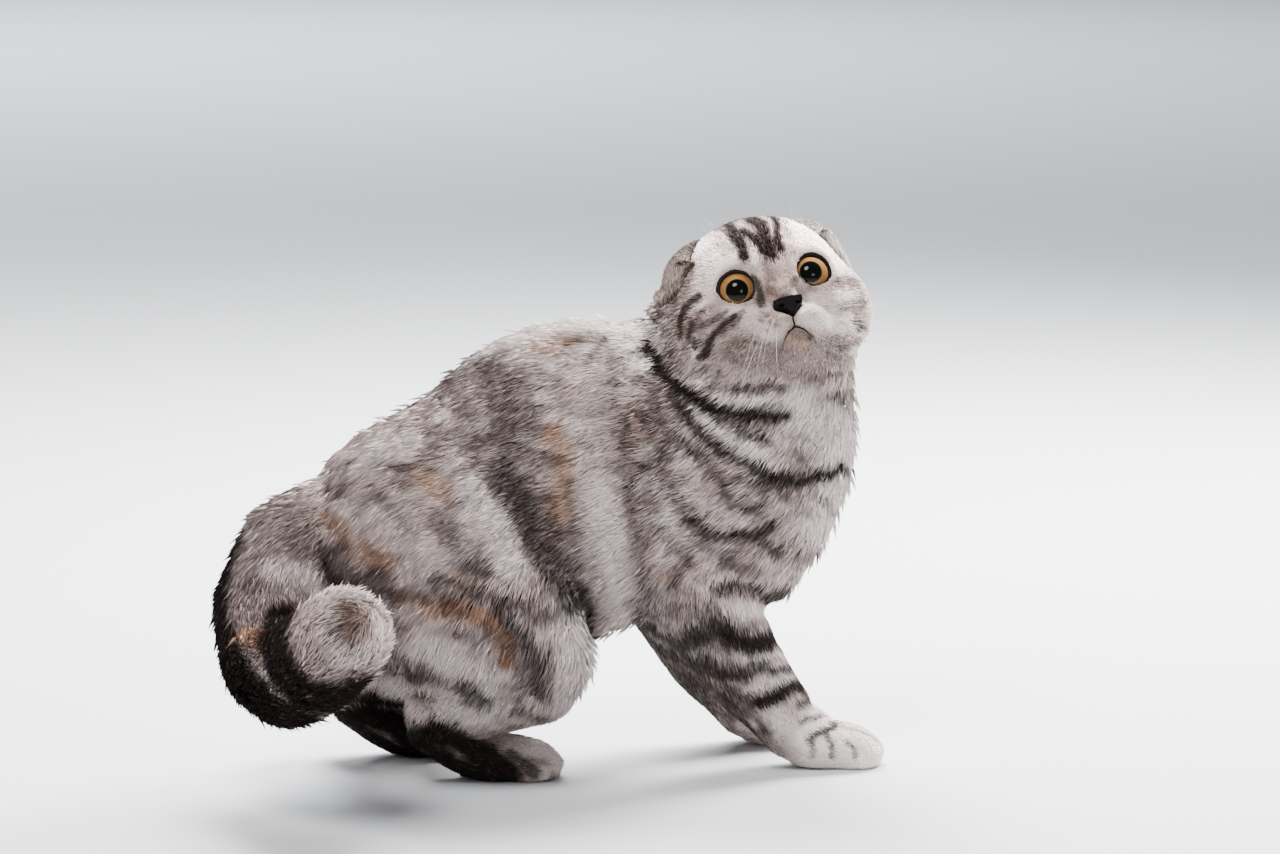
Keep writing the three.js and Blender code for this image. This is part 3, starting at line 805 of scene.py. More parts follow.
TAIL_CHARCOAL_AND_SHADE = (
    # The tail's outer bend: partly dark fur, partly painted shade on its low outer side
    (((240, 530), (226, 560), (216, 590), (222, 640), (242, 684), (268, 708), (300, 722)), 14.0, 1.0),
    (((262, 640), (250, 600), (262, 560)), 6.0, 0.4),
    (((281, 612), (270, 644), (280, 676), (300, 698), (336, 700), (356, 692)), 13.0, 1.0),
    (((338, 618), (346, 624), (344, 634), (338, 634)), 15.0, 0.62),
)
TAN_STROKES = (
    (((338, 618), (344, 632)), 14.0, 0.4),
    (((768, 284), (776, 292), (784, 286)), 6.0, 0.35),
    (((770, 306), (784, 322), (806, 326)), 8.0, 0.3),
    (((700, 296), (720, 304), (736, 308)), 5.0, 0.25),
    (((790, 338), (800, 344)), 5.0, 0.6),
    (((790, 366), (830, 362)), 7.0, 0.2),
    (((436, 478), (452, 486)), 10.0, 0.6),
    (((337, 511), (354, 528), (370, 542), (392, 553)), 8.0, 0.6),
    (((246, 632), (256, 640), (266, 646)), 8.0, 0.9),
    (((440, 604), (466, 600), (488, 607), (512, 634), (508, 652)), 7.0, 0.75),
    (((410, 592), (440, 598)), 7.0, 0.45),
    (((455, 566), (472, 582)), 5.0, 0.5),
    (((564, 431), (573, 456), (574, 484), (570, 508)), 8.0, 0.72),
    (((572, 338), (590, 331), (614, 325)), 7.0, 0.6),
    (((545, 352), (560, 344), (574, 338)), 6.0, 0.4),
    (((642, 520), (650, 548), (668, 570)), 7.0, 0.3),
    (((560, 500), (566, 530)), 6.0, 0.4),
    (((670, 281), (678, 286)), 4.0, 0.5),
    (((700, 288), (708, 284)), 4.0, 0.25),
    (((836, 262), (850, 268)), 5.0, 0.35),
    (((779, 300), (772, 306), (779, 318), (790, 326)), 5.0, 0.35),
    (((797, 318), (802, 326)), 5.0, 0.3),
    (((789, 336), (796, 340), (806, 338)), 4.0, 0.55),
    (((690, 668), (708, 674)), 5.0, 0.3),
    (((468, 660), (478, 672)), 6.0, 0.45),
    (((640, 410), (646, 440)), 6.0, 0.25),
)
CREAM_AND_HIGHLIGHT_STROKES = (
    # Painted highlight along the top of the nape and the back, in these two strokes
    (((612, 322), (636, 334), (652, 330), (650, 356)), 14.0, 0.9),
    (((440, 362), (470, 346), (520, 330), (575, 322), (612, 323), (650, 324)), 11.0, 0.9),
    (((600, 360), (612, 392)), 10.0, 0.4),
    (((380, 452), (404, 446), (424, 440)), 10.0, 0.55),
    (((477, 486), (504, 508), (516, 560)), 12.0, 0.62),
    (((404, 511), (434, 540), (446, 560)), 12.0, 0.5),
    (((425, 636), (462, 652), (488, 676)), 12.0, 0.75),
    (((444, 702), (470, 714), (492, 706)), 9.0, 0.65),
    (((276, 561), (310, 567), (326, 586)), 9.0, 0.75),
    (((572, 620), (582, 660), (572, 700)), 15.0, 0.6),
    (((606, 484), (620, 530), (626, 575), (628, 628)), 11.0, 0.6),
    (((646, 545), (650, 590)), 5.0, 0.35),
    (((264, 677), (286, 704), (306, 711)), 2.5, 0.6),
    (((325, 592), (372, 596), (386, 630), (372, 664), (336, 664), (318, 640), (325, 592)), 6.0, 0.4),
    (((812, 734), (836, 740), (866, 748), (872, 764)), 16.0, 1.0),
    (((536, 744), (552, 750), (560, 762)), 8.0, 0.7),
    (((702, 250), (716, 262), (708, 280), (704, 300)), 8.0, 0.7),
    (((756, 262), (748, 258), (730, 262), (718, 268)), 4.0, 0.6),
    (((798, 226), (812, 240), (836, 252), (846, 262)), 12.0, 0.85),
    (((766, 308), (748, 312), (730, 310)), 4.0, 0.7),
    (((812, 300), (830, 300), (848, 296)), 5.0, 0.6),
    (((806, 316), (826, 318), (842, 322)), 8.0, 0.75),
    (((748, 320), (762, 326), (772, 334)), 5.0, 0.45),
    (((768, 330), (784, 328)), 7.0, 0.4),
    (((700, 352), (698, 336)), 3.0, 0.7),
    (((724, 392), (750, 394), (790, 394)), 5.0, 0.75),
    (((800, 400), (838, 420), (846, 460), (828, 520)), 18.0, 0.75),
    (((700, 404), (740, 434), (770, 448)), 5.0, 0.7),
    (((716, 420), (748, 446), (780, 456)), 4.0, 0.5),
    (((716, 574), (748, 570), (790, 572)), 4.0, 0.4),
    (((736, 600), (770, 606), (792, 600)), 5.0, 0.75),
    (((734, 650), (762, 648), (790, 648)), 3.5, 0.6),
    (((740, 684), (764, 676), (796, 672)), 4.0, 0.6),
    (((768, 708), (780, 722), (800, 732)), 7.0, 0.5),
    (((795, 262), (800, 256), (812, 251)), 3.0, 0.5),
    (((664, 232), (680, 224), (700, 224)), 5.0, 0.7),
)
AGOUTI_AND_SHADE_STROKES = (
    # The chin: partly its own brownish tone, partly painted shade
    (((790, 337), (803, 339), (812, 341)), 5.0, 0.6),
    # Painted shade under the chin and the whisker pads
    (((742, 350), (790, 359), (830, 350)), 13.0, 0.85),
    # Painted shade along the back of the near foreleg, in two strokes
    (((700, 622), (730, 680), (754, 728)), 15.0, 0.85),
    (((736, 716), (762, 744)), 9.0, 0.8),
    (((340, 620), (346, 636)), 17.0, 1.0),
    # Painted shade under the chin and the whisker pads, in two more bands
    (((726, 352), (744, 350), (770, 356), (800, 360), (826, 352)), 7.0, 0.5),
    (((744, 364), (776, 370), (806, 368)), 8.0, 0.42),
    # Painted shade on the side behind the near ear
    (((664, 270), (666, 292)), 8.0, 0.6),
    (((772, 262), (776, 280)), 6.0, 0.35),
    (((740, 222), (770, 224)), 10.0, 0.4),
    (((700, 310), (690, 330), (700, 346)), 9.0, 0.5),
    (((708, 356), (730, 362), (750, 362)), 8.0, 0.5),
    (((852, 282), (856, 304), (852, 330)), 6.0, 0.4),
    (((430, 372), (470, 380), (520, 370)), 16.0, 0.5),
    (((490, 400), (500, 440)), 22.0, 0.5),
    # Painted shade on the side behind the near ear
    (((664, 292), (672, 320), (668, 345)), 12.0, 0.95),
    (((655, 360), (652, 400), (664, 440)), 14.0, 0.75),
    (((690, 400), (680, 440), (690, 480)), 12.0, 0.4),
    (((480, 366), (530, 362), (560, 384)), 16.0, 0.4),
    (((420, 420), (470, 410), (500, 440)), 18.0, 0.5),
    (((300, 490), (360, 470)), 14.0, 0.35),
    (((250, 540), (262, 590), (250, 610)), 16.0, 0.6),
    (((640, 560), (680, 590), (700, 610)), 14.0, 0.45),
    (((540, 420), (550, 470)), 14.0, 0.4),
    (((385, 590), (410, 640), (408, 680)), 12.0, 0.5),
    (((500, 700), (520, 730), (470, 735)), 10.0, 0.5),
    (((560, 590), (530, 560)), 10.0, 0.5),
    (((346, 470), (300, 520), (260, 560)), 10.0, 0.3),
)


def stroke_mask(pixels, strokes):
    """How strongly the strokes mark each place, given in photograph pixels."""
    mask = np.zeros(len(pixels))
    for line, half_width, strength in strokes:
        reach = half_width * 2 + 3
        low = np.min(line, axis=0) - reach
        high = np.max(line, axis=0) + reach
        near = ((pixels > low) & (pixels < high)).all(1)
        apart = line_distance(pixels[near], line)
        laid = strength * (1 - fade(apart, half_width * 0.75, half_width * 1.75 + 1.2))
        mask[near] = np.maximum(mask[near], laid)
    return mask


# Where the left hind leg begins across, and how far its shank stands behind the right one
LEFT_HIND_INNER = 14
LEFT_SHANK_BACK = 20


def marked_side(places, kinds):
    """The place on the cat's right side that carries the markings of each place."""
    shown = places.copy()
    trunk = np.isin(kinds, (*TRUNK, "thigh", "shank"))
    shown[trunk, 1] = -np.abs(places[trunk, 1])
    # The left feet stand further back than the right ones, by the ends of the legs' middle lines
    right, left = (line[-1] for line in leg_lines("foreleg"))
    between = (right[1] + left[1]) / 2
    foreleg = np.isin(kinds, ("foreleg_upper", "foreleg_lower", "forepaw")) & (places[:, 1] > between)
    shown[foreleg, 1] = 2 * between - places[foreleg, 1]
    shown[foreleg, 0] += (right[0] - left[0]) * (1 - fade(places[foreleg, 2], 40, 110))
    right, left = (line[-1] for line in leg_lines("hindleg"))
    hindfoot = (kinds == "hindfoot") & (places[:, 1] > LEFT_HIND_INNER)
    shown[hindfoot, 1] = right[1] + left[1] - places[hindfoot, 1]
    shown[hindfoot, 0] += right[0] - left[0]
    shank = (kinds == "shank") & (places[:, 1] > LEFT_HIND_INNER)
    shown[shank, 0] += LEFT_SHANK_BACK
    return shown


def mark_tail(masks, places, pixels, tail):
    """Rings the tail all round. Its pale tip and its outer bend are marked from the photograph."""
    here = places[tail]
    spots = pixels[tail]
    _, share, out = nearest_on(TAIL_LINE, here)
    seen = (out @ VIEW_BACK > -0.1) | (share > 0.9)
    rings = 0.85 * fade(np.cos((share - 0.74) * FULL_TURN / 0.19 + 0.5 * ripple(here, 26, 9)), 0.0, 0.7)
    laid = stroke_mask(spots, TAIL_CHARCOAL_AND_SHADE)
    dark = np.where(seen, np.maximum(laid, 0.3 * rings), rings)
    masks["charcoal"][tail] = np.where(share > 0.87, laid * 0.9, dark)
    masks["cream"][tail] = stroke_mask(spots, CREAM_AND_HIGHLIGHT_STROKES) * seen
    masks["tan"][tail] = stroke_mask(spots, TAN_STROKES) * seen
    masks["agouti"][tail] = 0.62


def mark_body(masks, places, kinds, body):
    """Broad soft clouds of darker agouti over the back and sides, with a pale belly and pale forepaws."""
    agouti, tan, cream, charcoal = (masks[name] for name in MARKS)
    cloud = 0.5 + 0.5 * ripple(places, 46, 11)
    streak = 0.5 + 0.5 * ripple(places * np.array((0.5, 1, 1.6)), 18, 12)
    fleck = 0.5 + 0.5 * ripple(places * np.array((0.6, 1, 1.2)), 8, 13)
    patchy = (0.35 + 0.65 * cloud) * (0.55 * streak + 0.45 * fleck)
    agouti[body] = np.maximum(agouti[body], 0.05 + 0.85 * patchy[body])
    dusk = 0.62 * fade(patchy, 0.4, 0.66) * (kinds != "forepaw")
    charcoal[body] = np.maximum(charcoal[body], (dusk * (1 - cream))[body])
    cream[body] *= np.where(kinds == "forepaw", 1, 0.6 + 0.5 * (streak + fleck) / 2)[body]
    light = 0.4 * fade(ripple(places * np.array((0.6, 1, 1.3)), 13, 15), 0.1, 0.8) * (1 - tan)
    cream[body] = np.maximum(cream[body], light[body])
    belly = np.isin(kinds, ("flank", "chest", "rump")) & (places[:, 2] < 88)
    cream[belly] = np.maximum(cream[belly], 0.5 * (1 - fade(places[belly, 2], 66, 88)))
    forepaw = kinds == "forepaw"
    cream[forepaw] = np.maximum(cream[forepaw], 0.9 * fade(places[forepaw, 0], 62, 78))


def mark_head(masks, places, face):
    """Mottles the face, and runs the stripes of the crown on to the nape behind it."""
    agouti, tan, cream, charcoal = (masks[name] for name in MARKS)
    head = to_head(places)
    throat = face & (head[:, 2] < -34)
    cream[throat] = np.maximum(cream[throat], 0.1)
    mottle = 0.5 + 0.5 * ripple(places[face], 7, 14)
    agouti[face] = np.maximum(agouti[face], 0.05 + 0.3 * mottle * (1 - cream[face]))
    tan[face] = np.maximum(tan[face], 0.1)
    across = head[:, 1] + 2.5 * ripple(places, 16, 8)
    stripes = fade(np.cos(across * FULL_TURN / 13.0), 0.25, 0.8)
    nape = 0.75 * stripes * fade(head[:, 2], -12, 22)
    front = np.where(face, fade(head[:, 0], -14, 4), 1.0)
    masks["charcoal"] = charcoal * front + nape * (1 - front)
    masks["agouti"] = agouti * front + 0.55 * (1 - front)
    masks["cream"] = cream * front
    masks["tan"] = tan * 0.9


def markings(places, kinds):
    """The coat's four masks at each place: how much of each colour lies over the silver ground."""
    pixels = photo_place(marked_side(places, kinds))
    face = kinds == "head"
    tail = kinds == "tail"
    body = ~face & ~tail
    rough = np.stack((ripple(places, 14, 3), ripple(places, 14, 4)), -1)
    fine = np.stack((ripple(places, 5, 5), ripple(places, 5, 6)), -1)
    wander = np.where(face, 0.5, 1.6)[:, None]
    pixels = pixels + rough * wander + fine * wander * 0.6
    masks = {name: np.zeros(len(places)) for name in MARKS}
    # The charcoal and agouti masks also carry the painted shade strokes, and the cream mask the painted
    # highlight
    for part, charcoal in ((face, FACE_CHARCOAL_AND_SHADE), (body, BODY_CHARCOAL_AND_SHADE)):
        here = pixels[part]
        masks["charcoal"][part] = stroke_mask(here, charcoal)
        masks["tan"][part] = np.minimum(1.15 * stroke_mask(here, TAN_STROKES), 1)
        masks["cream"][part] = stroke_mask(here, CREAM_AND_HIGHLIGHT_STROKES)
        masks["agouti"][part] = stroke_mask(here, AGOUTI_AND_SHADE_STROKES)
    mark_tail(masks, places, pixels, tail)
    mark_body(masks, places, kinds, body)
    mark_head(masks, places, face)
    return {name: np.clip(mask, 0, 1) for name, mask in masks.items()}


# Skin

# How far the flesh is swollen before it is remeshed, and the size of the quads that it gets
FLESH_SWELL = 0.45
SKIN_VOXEL = 2.45
# How deep the skin lies inside an eyeball, and the lowest that any skin may lie
EYE_CLEARANCE = 0.9
SKIN_FLOOR = 0.25


def nearest_kinds(places):
    """The kind of the node of flesh that lies nearest to each place."""
    corners = []
    owners = []
    for node in FLESH:
        node_places, triangles, _ = mesh_arrays(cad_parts[node])
        corners.append(node_places[triangles])
        owners += [kind_of(node)] * len(triangles)
    corners = np.concatenate(corners)
    faces = np.arange(len(corners) * 3).reshape(-1, 3)
    tree = BVHTree.FromPolygons(corners.reshape(-1, 3).tolist(), faces.tolist())
    found = [tree.find_nearest(place)[2] for place in places.tolist()]
    return np.array(owners)[found]


def eye_room(head, side):
    """Around an eye: the ways from its centre, how long they are, and how far from its axis in degrees."""
    away = head - eye_centre(side)
    apart = np.linalg.norm(away, axis=1)
    lean = np.degrees(np.arccos(np.clip(away @ eye_axis(side) / np.maximum(apart, 1e-6), -1, 1)))
    return away, apart, lean


def open_lids(head):
    """Opens the skin round each eyeball. The lids' soft edges stand just off it and slope into the face."""
    for side, _ in SIDES:
        away = head - eye_centre(side)
        axis = eye_axis(side)
        high = away @ axis
        flat = away - high[:, None] * axis
        wide = np.linalg.norm(flat, axis=1)
        up = np.cross(axis, np.cross(UP, axis))
        turn = np.arctan2(flat @ unit(np.cross(axis, up)), flat @ unit(up))
        front = (high > 0) & (wide < 24)
        on_rim = front & (wide > LID_EDGE - 0.9) & (wide < LID_EDGE + 1.2)
        middles = np.linspace(-math.pi, math.pi, 24, endpoint=False)
        near = bump(np.angle(np.exp(1j * (turn[on_rim][None] - middles[:, None]))), 0.25)
        level = (near * high[on_rim]).sum(1) / near.sum(1)
        edge_height = math.sqrt(LID_OUTSIDE**2 - LID_EDGE**2)
        rise = edge_height - np.interp(turn, middles, level, period=FULL_TURN)
        slope = rise * (1 - fade(wide, LID_EDGE, LID_EDGE + LID_SKIRT)) ** 1.3
        dome = np.sqrt(np.maximum(LID_OUTSIDE**2 - wide**2, 0))
        sunk = np.sqrt(np.maximum((EYE_RADIUS - EYE_CLEARANCE) ** 2 - wide**2, 0))
        inside = sunk + (dome - sunk) * fade(wide, LID_EDGE - 1.7, LID_EDGE - 0.7)
        moved = np.where(wide < LID_EDGE, inside - high, slope)
        head = head + (moved * front)[:, None] * axis
    return head


# The mouth's lines, as places across the face: to the cat's left, and up
MOUTH_LINES = (
    ((0, -27.5), (0, -30.5), (0, -33.4)),
    ((0, -33.4), (3.2, -35.0), (6.0, -37.6), (8.2, -40.6)),
    ((0, -33.4), (-3.2, -35.0), (-6.0, -37.6), (-8.2, -40.6)),
)
# Soft forms laid over the face: place, reach and how far they stand out of it. The first are in pairs.
PAIRED_FORMS = (
    ((8.6, -30.0), 5.6, 2.9),
    ((14.0, -32.5), 5.0, 1.8),
    ((3.6, -28.5), 2.8, 0.8),
    ((13.0, -43.0), 4.6, -2.6),
    ((20.5, -27.0), 4.4, -1.8),
    ((9.5, -20.5), 3.8, -1.1),
    ((25.0, -22.0), 8.0, 1.6),
    ((13.0, 9.5), 6.5, 1.2),
)
MIDDLE_FORMS = (
    ((0.0, -40.8), 4.4, 2.4),
    ((0.0, -6.0), 4.5, -1.2),
    ((0.0, -17.0), 3.6, 0.8),
)
MOUTH_DEPTH = 2.8
MOUTH_REACH = 1.3
# The ruff behind the cheek: its middle, its reach each way and how far it stands out
RUFF_PLACE = (-13.0, 50.0, 4.0)
RUFF_REACH = (13, 16, 17)
RUFF_RISE = 4.6


def mouth_distance(head):
    """How far each place is from the line of the mouth, across the face."""
    apart = np.min([line_distance(head[:, 1:], line) for line in MOUTH_LINES], axis=0)
    return np.where(head[:, 0] > 15, apart, 99.0)


def shape_face(head):
    """Puffs the whisker pads, the chin and the cheeks, and cuts the mouth."""
    out = np.zeros(len(head))
    for across, forms in ((np.abs(head[:, 1]), PAIRED_FORMS), (head[:, 1], MIDDLE_FORMS)):
        for (y, z), reach, height in forms:
            out += height * bump(np.hypot(across - y, head[:, 2] - z), reach)
    out -= MOUTH_DEPTH * bump(mouth_distance(head), MOUTH_REACH)
    head = head.copy()
    head[:, 0] += out * fade(head[:, 0], 8, 20)
    return head


def fill_jowls(head):
    """Widens the ruff behind the cheeks, below the ears."""
    for side, _ in SIDES:
        apart = np.linalg.norm((head - on_side(RUFF_PLACE, side)) / RUFF_REACH, axis=1)
        head = head + unit(head) * (RUFF_RISE * bump(apart, 1))[:, None]
    return head


def head_sizes(head):
    """Tuft length over the head: shortest on the nose and round the eyes, longest on crown and jowls."""
    from_nose = np.linalg.norm(head - NOSE_PLACE, axis=1)
    length = 1.2 + 0.085 * np.clip(from_nose - 4, 0, 66)
    for side, _ in SIDES:
        _, apart, lean = eye_room(head, side)
        rim = np.where(lean < 95, apart * np.sin(np.radians(lean)) - LID_EDGE, 99)
        length = np.minimum(length, 1.3 + 0.22 * np.clip(rim, 0, 99))
    ruff = 0.9 * fade(-head[:, 0], -6, 14) * (1 - fade(head[:, 2], 6, 26))
    return np.clip(length, 1.2, 6.2) + ruff


# The toes of each foot: the foot's place across, where its toes start on the way forward, and their spread
FEET = (
    ("forepaw", -34.0, 93.0, 7.6),
    ("forepaw", 22.0, 84.0, 7.6),
    ("hindfoot", -17.0, -76.0, 7.2),
    ("hindfoot", 44.0, -103.0, 7.2),
)
PARTING_DEPTH = 1.5


def toe_partings(places, kinds):
    """How near each place is to a parting between two toes, from 0 to 1."""
    near = np.zeros(len(places))
    for kind, middle, start, toe in FEET:
        foot = (kinds == kind) & (np.abs(places[:, 1] - middle) < 20)
        apart = np.abs(np.abs(places[:, 1] - middle)[:, None] - (0, toe)).min(1)
        share = bump(apart, 0.9) * fade(places[:, 0], start, start + 9)
        near[foot] = np.maximum(near, share * fade(places[:, 2], 1.0, 4.0))[foot]
    return near


def soft_flesh():
    """The flesh in one mesh of even quads, its steps evened out and its jowls filled."""
    skin = welded_copy(FLESH, "skin")
    places, triangles, _ = mesh_arrays(skin)
    put_places(skin, places + outward(places, triangles) * FLESH_SWELL)
    remeshed(skin, SKIN_VOXEL)
    skin = keep_largest(skin)
    places, _, edges = mesh_arrays(skin)
    kinds = nearest_kinds(places)
    broad = np.isin(kinds, (*TRUNK, "thigh", "tail")).astype(float)
    head = to_head(places)
    jowl = np.maximum(fade(-head[:, 0], 8, 26), fade(-head[:, 2], 38, 48) * (head[:, 0] < 22))
    broad = np.maximum(broad, jowl * (kinds == "head"))
    broad = spread(broad, edges, 12)[:, None]
    fine = spread(places, edges, 8, 0.5, -0.53)
    soft = spread(places, edges, 40, 0.5, -0.505)
    places = fine * (1 - broad) + soft * broad
    border = spread((kinds == "head").astype(float), edges, 40)
    head = to_head(places)
    throat = fade(-head[:, 2], 24, 38) * fade(head[:, 0], -30, -12)
    filled = np.clip(5 * border * (1 - border), 0, 1) * throat
    places = places + (spread(places, edges, 110) - places) * filled[:, None]
    near_head = np.isin(kinds, ("head", "neck"))
    places[near_head] = from_head(fill_jowls(to_head(places[near_head])))
    put_places(skin, places)
    return skin


def on_face_or_toes(middles):
    head = to_head(middles)
    face = (head[:, 0] > -6) & (np.linalg.norm(head, axis=1) < 62) & (head[:, 2] > -52)
    forward = (middles[:, 0] > 82) | ((middles[:, 0] < -50) & (middles[:, 0] > -108))
    return face | (forward & (middles[:, 2] < 21) & (middles[:, 2] > 0.5))


def on_features(middles):
    head = to_head(middles)
    eyes = [eye_room(head, side)[1] < 19 for side, _ in SIDES]
    mouth = (np.abs(head[:, 1]) < 18) & (head[:, 2] < -14) & (head[:, 2] > -50) & (head[:, 0] > 22)
    return eyes[0] | eyes[1] | mouth


def sunk_under_coat(places, triangles, edges, kinds):
    """The skin's places under the coat: deep on the body, shallow on the face and the feet."""
    face = (kinds == "head")[:, None]
    evened = spread(places, edges, 6, 0.5, -0.52)
    places = places + (evened - places) * spread(face[:, 0].astype(float), edges, 4)[:, None]
    depth = np.array([COAT_SIZES[kind][0] for kind in kinds])
    depth = np.where(face[:, 0], 0.25 + 0.34 * head_sizes(to_head(places)), depth)
    depth = spread(depth, edges, 45)
    depth[(places[:, 2] < 2.5) & np.isin(kinds, ("forepaw", "hindfoot"))] = 0.2
    sunk = places - outward(places, triangles) * depth[:, None]
    places = np.where(face, sunk, spread(sunk, edges, 4, 0.5, -0.52))
    for _ in range(2):
        places -= outward(places, triangles) * (PARTING_DEPTH * toe_partings(places, kinds))[:, None]
    places[:, 2] = np.maximum(places[:, 2], SKIN_FLOOR)
    return places


def make_skin():
    skin = soft_flesh()
    split_faces(skin, on_face_or_toes)
    split_faces(skin, on_features)
    edited(skin, (bpy.ops.mesh.quads_convert_to_tris, {}))
    places, triangles, edges = mesh_arrays(skin)
    kinds = nearest_kinds(places)
    places = sunk_under_coat(places, triangles, edges, kinds)
    face = kinds == "head"
    places[face] = from_head(open_lids(shape_face(to_head(places[face]))))
    put_places(skin, places)

    places, triangles, edges = mesh_arrays(skin)
    marks = markings(places, kinds)
    # Painted shade in the partings between the toes, laid into the charcoal and taken out of the cream
    parting = 0.55 * toe_partings(places, kinds)
    marks["charcoal"] = np.maximum(marks["charcoal"], parting)
    marks["cream"] = marks["cream"] * (1 - parting)
    made["skin"] = {
        "places": places,
        "triangles": triangles,
        "edges": edges,
        "normals": outward(places, triangles),
        "kinds": kinds,
        "marks": marks,
    }
    put_values(skin, marks)
    finish_piece(skin, made["undercoat"], FLESH)


def skull_tree():
    """The skin in the head's frame, to find where a ray meets it."""
    skin = made["skin"]
    return BVHTree.FromPolygons(to_head(skin["places"]).tolist(), skin["triangles"].tolist())


# The lie and the size of the coat at every point of the skin

LIES = {
    "thigh": (-0.45, 0.0, -0.89),
    "shank": (-0.45, 0.0, -0.89),
    "hindfoot": (0.94, 0.0, -0.34),
    "foreleg_upper": (0.05, 0.0, -1.0),
    "foreleg_lower": (0.4, 0.0, -0.92),
    "forepaw": (0.92, 0.0, -0.38),
}


def coat_lie(places, normals, kinds):
    """The way that the fur lies: along the trunk and the tail, down the legs and away from the nose."""
    head = to_head(places)
    lie = np.zeros_like(places)
    trunk = np.isin(kinds, TRUNK)
    fall = 0.1 + 0.55 * fade(150 - places[trunk, 2], 0, 80)
    lie[trunk] = nearest_on(TRUNK_LINE, places[trunk])[0] - fall[:, None] * UP
    tail = kinds == "tail"
    lie[tail] = nearest_on(TAIL_LINE, places[tail])[0]
    for kind, way in LIES.items():
        lie[kinds == kind] = way
    face = kinds == "head"
    away = unit(head - NOSE_PLACE)
    for side, _ in SIDES:
        off, apart, _ = eye_room(head, side)
        away = away + 1.3 * unit(off) * bump(apart - EYE_RADIUS, 6)[:, None]
    lie[face] = (away @ HEAD_TURN.T)[face]
    # It levels out just over the floor
    lie[:, 2] *= np.where(face, 1.0, fade(places[:, 2], 0, 14))
    return unit(flattened(lie, normals))


def bare_places(places):
    """No tuft grows on an eyeball, under the nose leather or in the mouth's line."""
    head = to_head(places)
    nose_low, nose_high = made["nose_room"]
    bare = ((head > nose_low + 0.3) & (head < nose_high - (0.0, 1.2, 1.3))).all(1)
    bare |= mouth_distance(head) < 0.7
    for side, _ in SIDES:
        _, apart, lean = eye_room(head, side)
        bare |= (lean < 90) & (apart * np.sin(np.radians(lean)) < LID_EDGE + 0.5)
    return bare


def coat_fields():
    skin = made["skin"]
    places = skin["places"]
    kinds = skin["kinds"]
    edges = skin["edges"]
    face = kinds == "head"
    head = to_head(places)
    lie = coat_lie(places, skin["normals"], kinds)
    # The fine features keep their own values, and the rest is evened out
    broad = fade(np.linalg.norm(head - NOSE_PLACE, axis=1), 30, 60)
    broad = np.maximum(broad, fade(spread((~face).astype(float), edges, 60), 0.02, 0.35))[:, None]
    lie = lie * (1 - broad) + spread(lie, edges, 60) * broad
    sizes = np.array([COAT_SIZES[kind][1:] for kind in kinds], float)
    length = head_sizes(head)[face]
    sizes[face] = np.stack((length, 0.12 + 0.075 * length, 14 + 0.5 * length), -1)
    skin["lie"] = unit(flattened(lie, skin["normals"]))
    skin["sizes"] = sizes * (1 - broad) + spread(sizes, edges, 50) * broad
    skin["bare"] = bare_places(places) & face


# For each piece of the coat: its kinds of node, its number of tufts, and whether it is the head's front
COAT_PIECES = {
    "coat_face": (("head",), 46000, True),
    "coat_crown": (("head",), 36000, False),
    "coat_neck": (("neck", "chest"), 48000, None),
    "coat_flank": (("flank",), 48000, None),
    "coat_rump": (("rump",), 40000, None),
    "coat_haunches": (("thigh", "shank"), 44000, None),
    "coat_forelegs": (("foreleg_upper", "foreleg_lower"), 33000, None),
    "coat_feet": (("forepaw", "hindfoot"), 22000, None),
    "coat_tail": (("tail",), 35000, None),
}
GUARD_HAIRS = 2800
EAR_TUFTS = 7200
EAR_INSIDE_TUFTS = 200
# The first seed of each kind of piece, so that every run draws the same coat
COAT_SEED = 100
GUARD_SEED = 200
EAR_SEED = 300
WHISKER_SEED = 500
# A tuft is a bent, closed sliver: its root under the skin, the two sides of its widest part, and its tip
TUFT_FACES = np.array(((0, 2, 1), (3, 1, 2), (0, 1, 3), (0, 3, 2)))
TUFT_ALONG = (0.0, 0.45, 0.45, 1.0)
TUFT_PATCH = np.array(((0.0, 0.0), (0.5, 0.45), (-0.5, 0.45), (0.0, 1.0))) * 0.003
TUFT_POINTS = 4
ROOT_DEPTH = 0.35
TUFT_FLOOR = 0.15


def scattered(places, triangles, weights, count, draw):
    """Scatters roots evenly over the triangles, and gives a way to read any vertex values at them."""
    corners = places[triangles]
    area = np.linalg.norm(np.cross(corners[:, 1] - corners[:, 0], corners[:, 2] - corners[:, 0]), axis=1)
    total = np.cumsum(area * weights)
    marks = (np.arange(count) + draw.uniform(0, 1, count)) / count * total[-1]
    picked = np.minimum(np.searchsorted(total, marks), len(triangles) - 1)
    first = np.sqrt(draw.uniform(0, 1, count))
    second = draw.uniform(0, 1, count)
    shares = np.stack((1 - first, first * (1 - second), first * second), -1)

    def at_roots(values):
        corners = values[triangles[picked]]
        return (corners * (shares if values.ndim == 1 else shares[..., None])).sum(1)

    return at_roots


def in_order(triangles):
    """The same triangles in an order that doesn't change from run to run, as that of an extrusion does."""
    turns = (triangles.argmin(1)[:, None] + np.arange(3)) % 3
    triangles = np.take_along_axis(triangles, turns, 1)
    return triangles[np.lexsort(triangles.T[::-1])]


def gathered(tips, roots, size, pull, draw):
    """Draws the tips of neighbouring tufts together into small locks."""
    cells = np.floor(roots / size + draw.uniform(0, 1, 3)).astype(np.int64) + 1000
    key = (cells[:, 0] * 2000 + cells[:, 1]) * 2000 + cells[:, 2]
    _, owner, count = np.unique(key, return_inverse=True, return_counts=True)
    middle = np.stack([np.bincount(owner, tips[:, k]) for k in range(3)], -1) / count[:, None]
    return tips + (middle[owner] - tips) * pull[:, None]


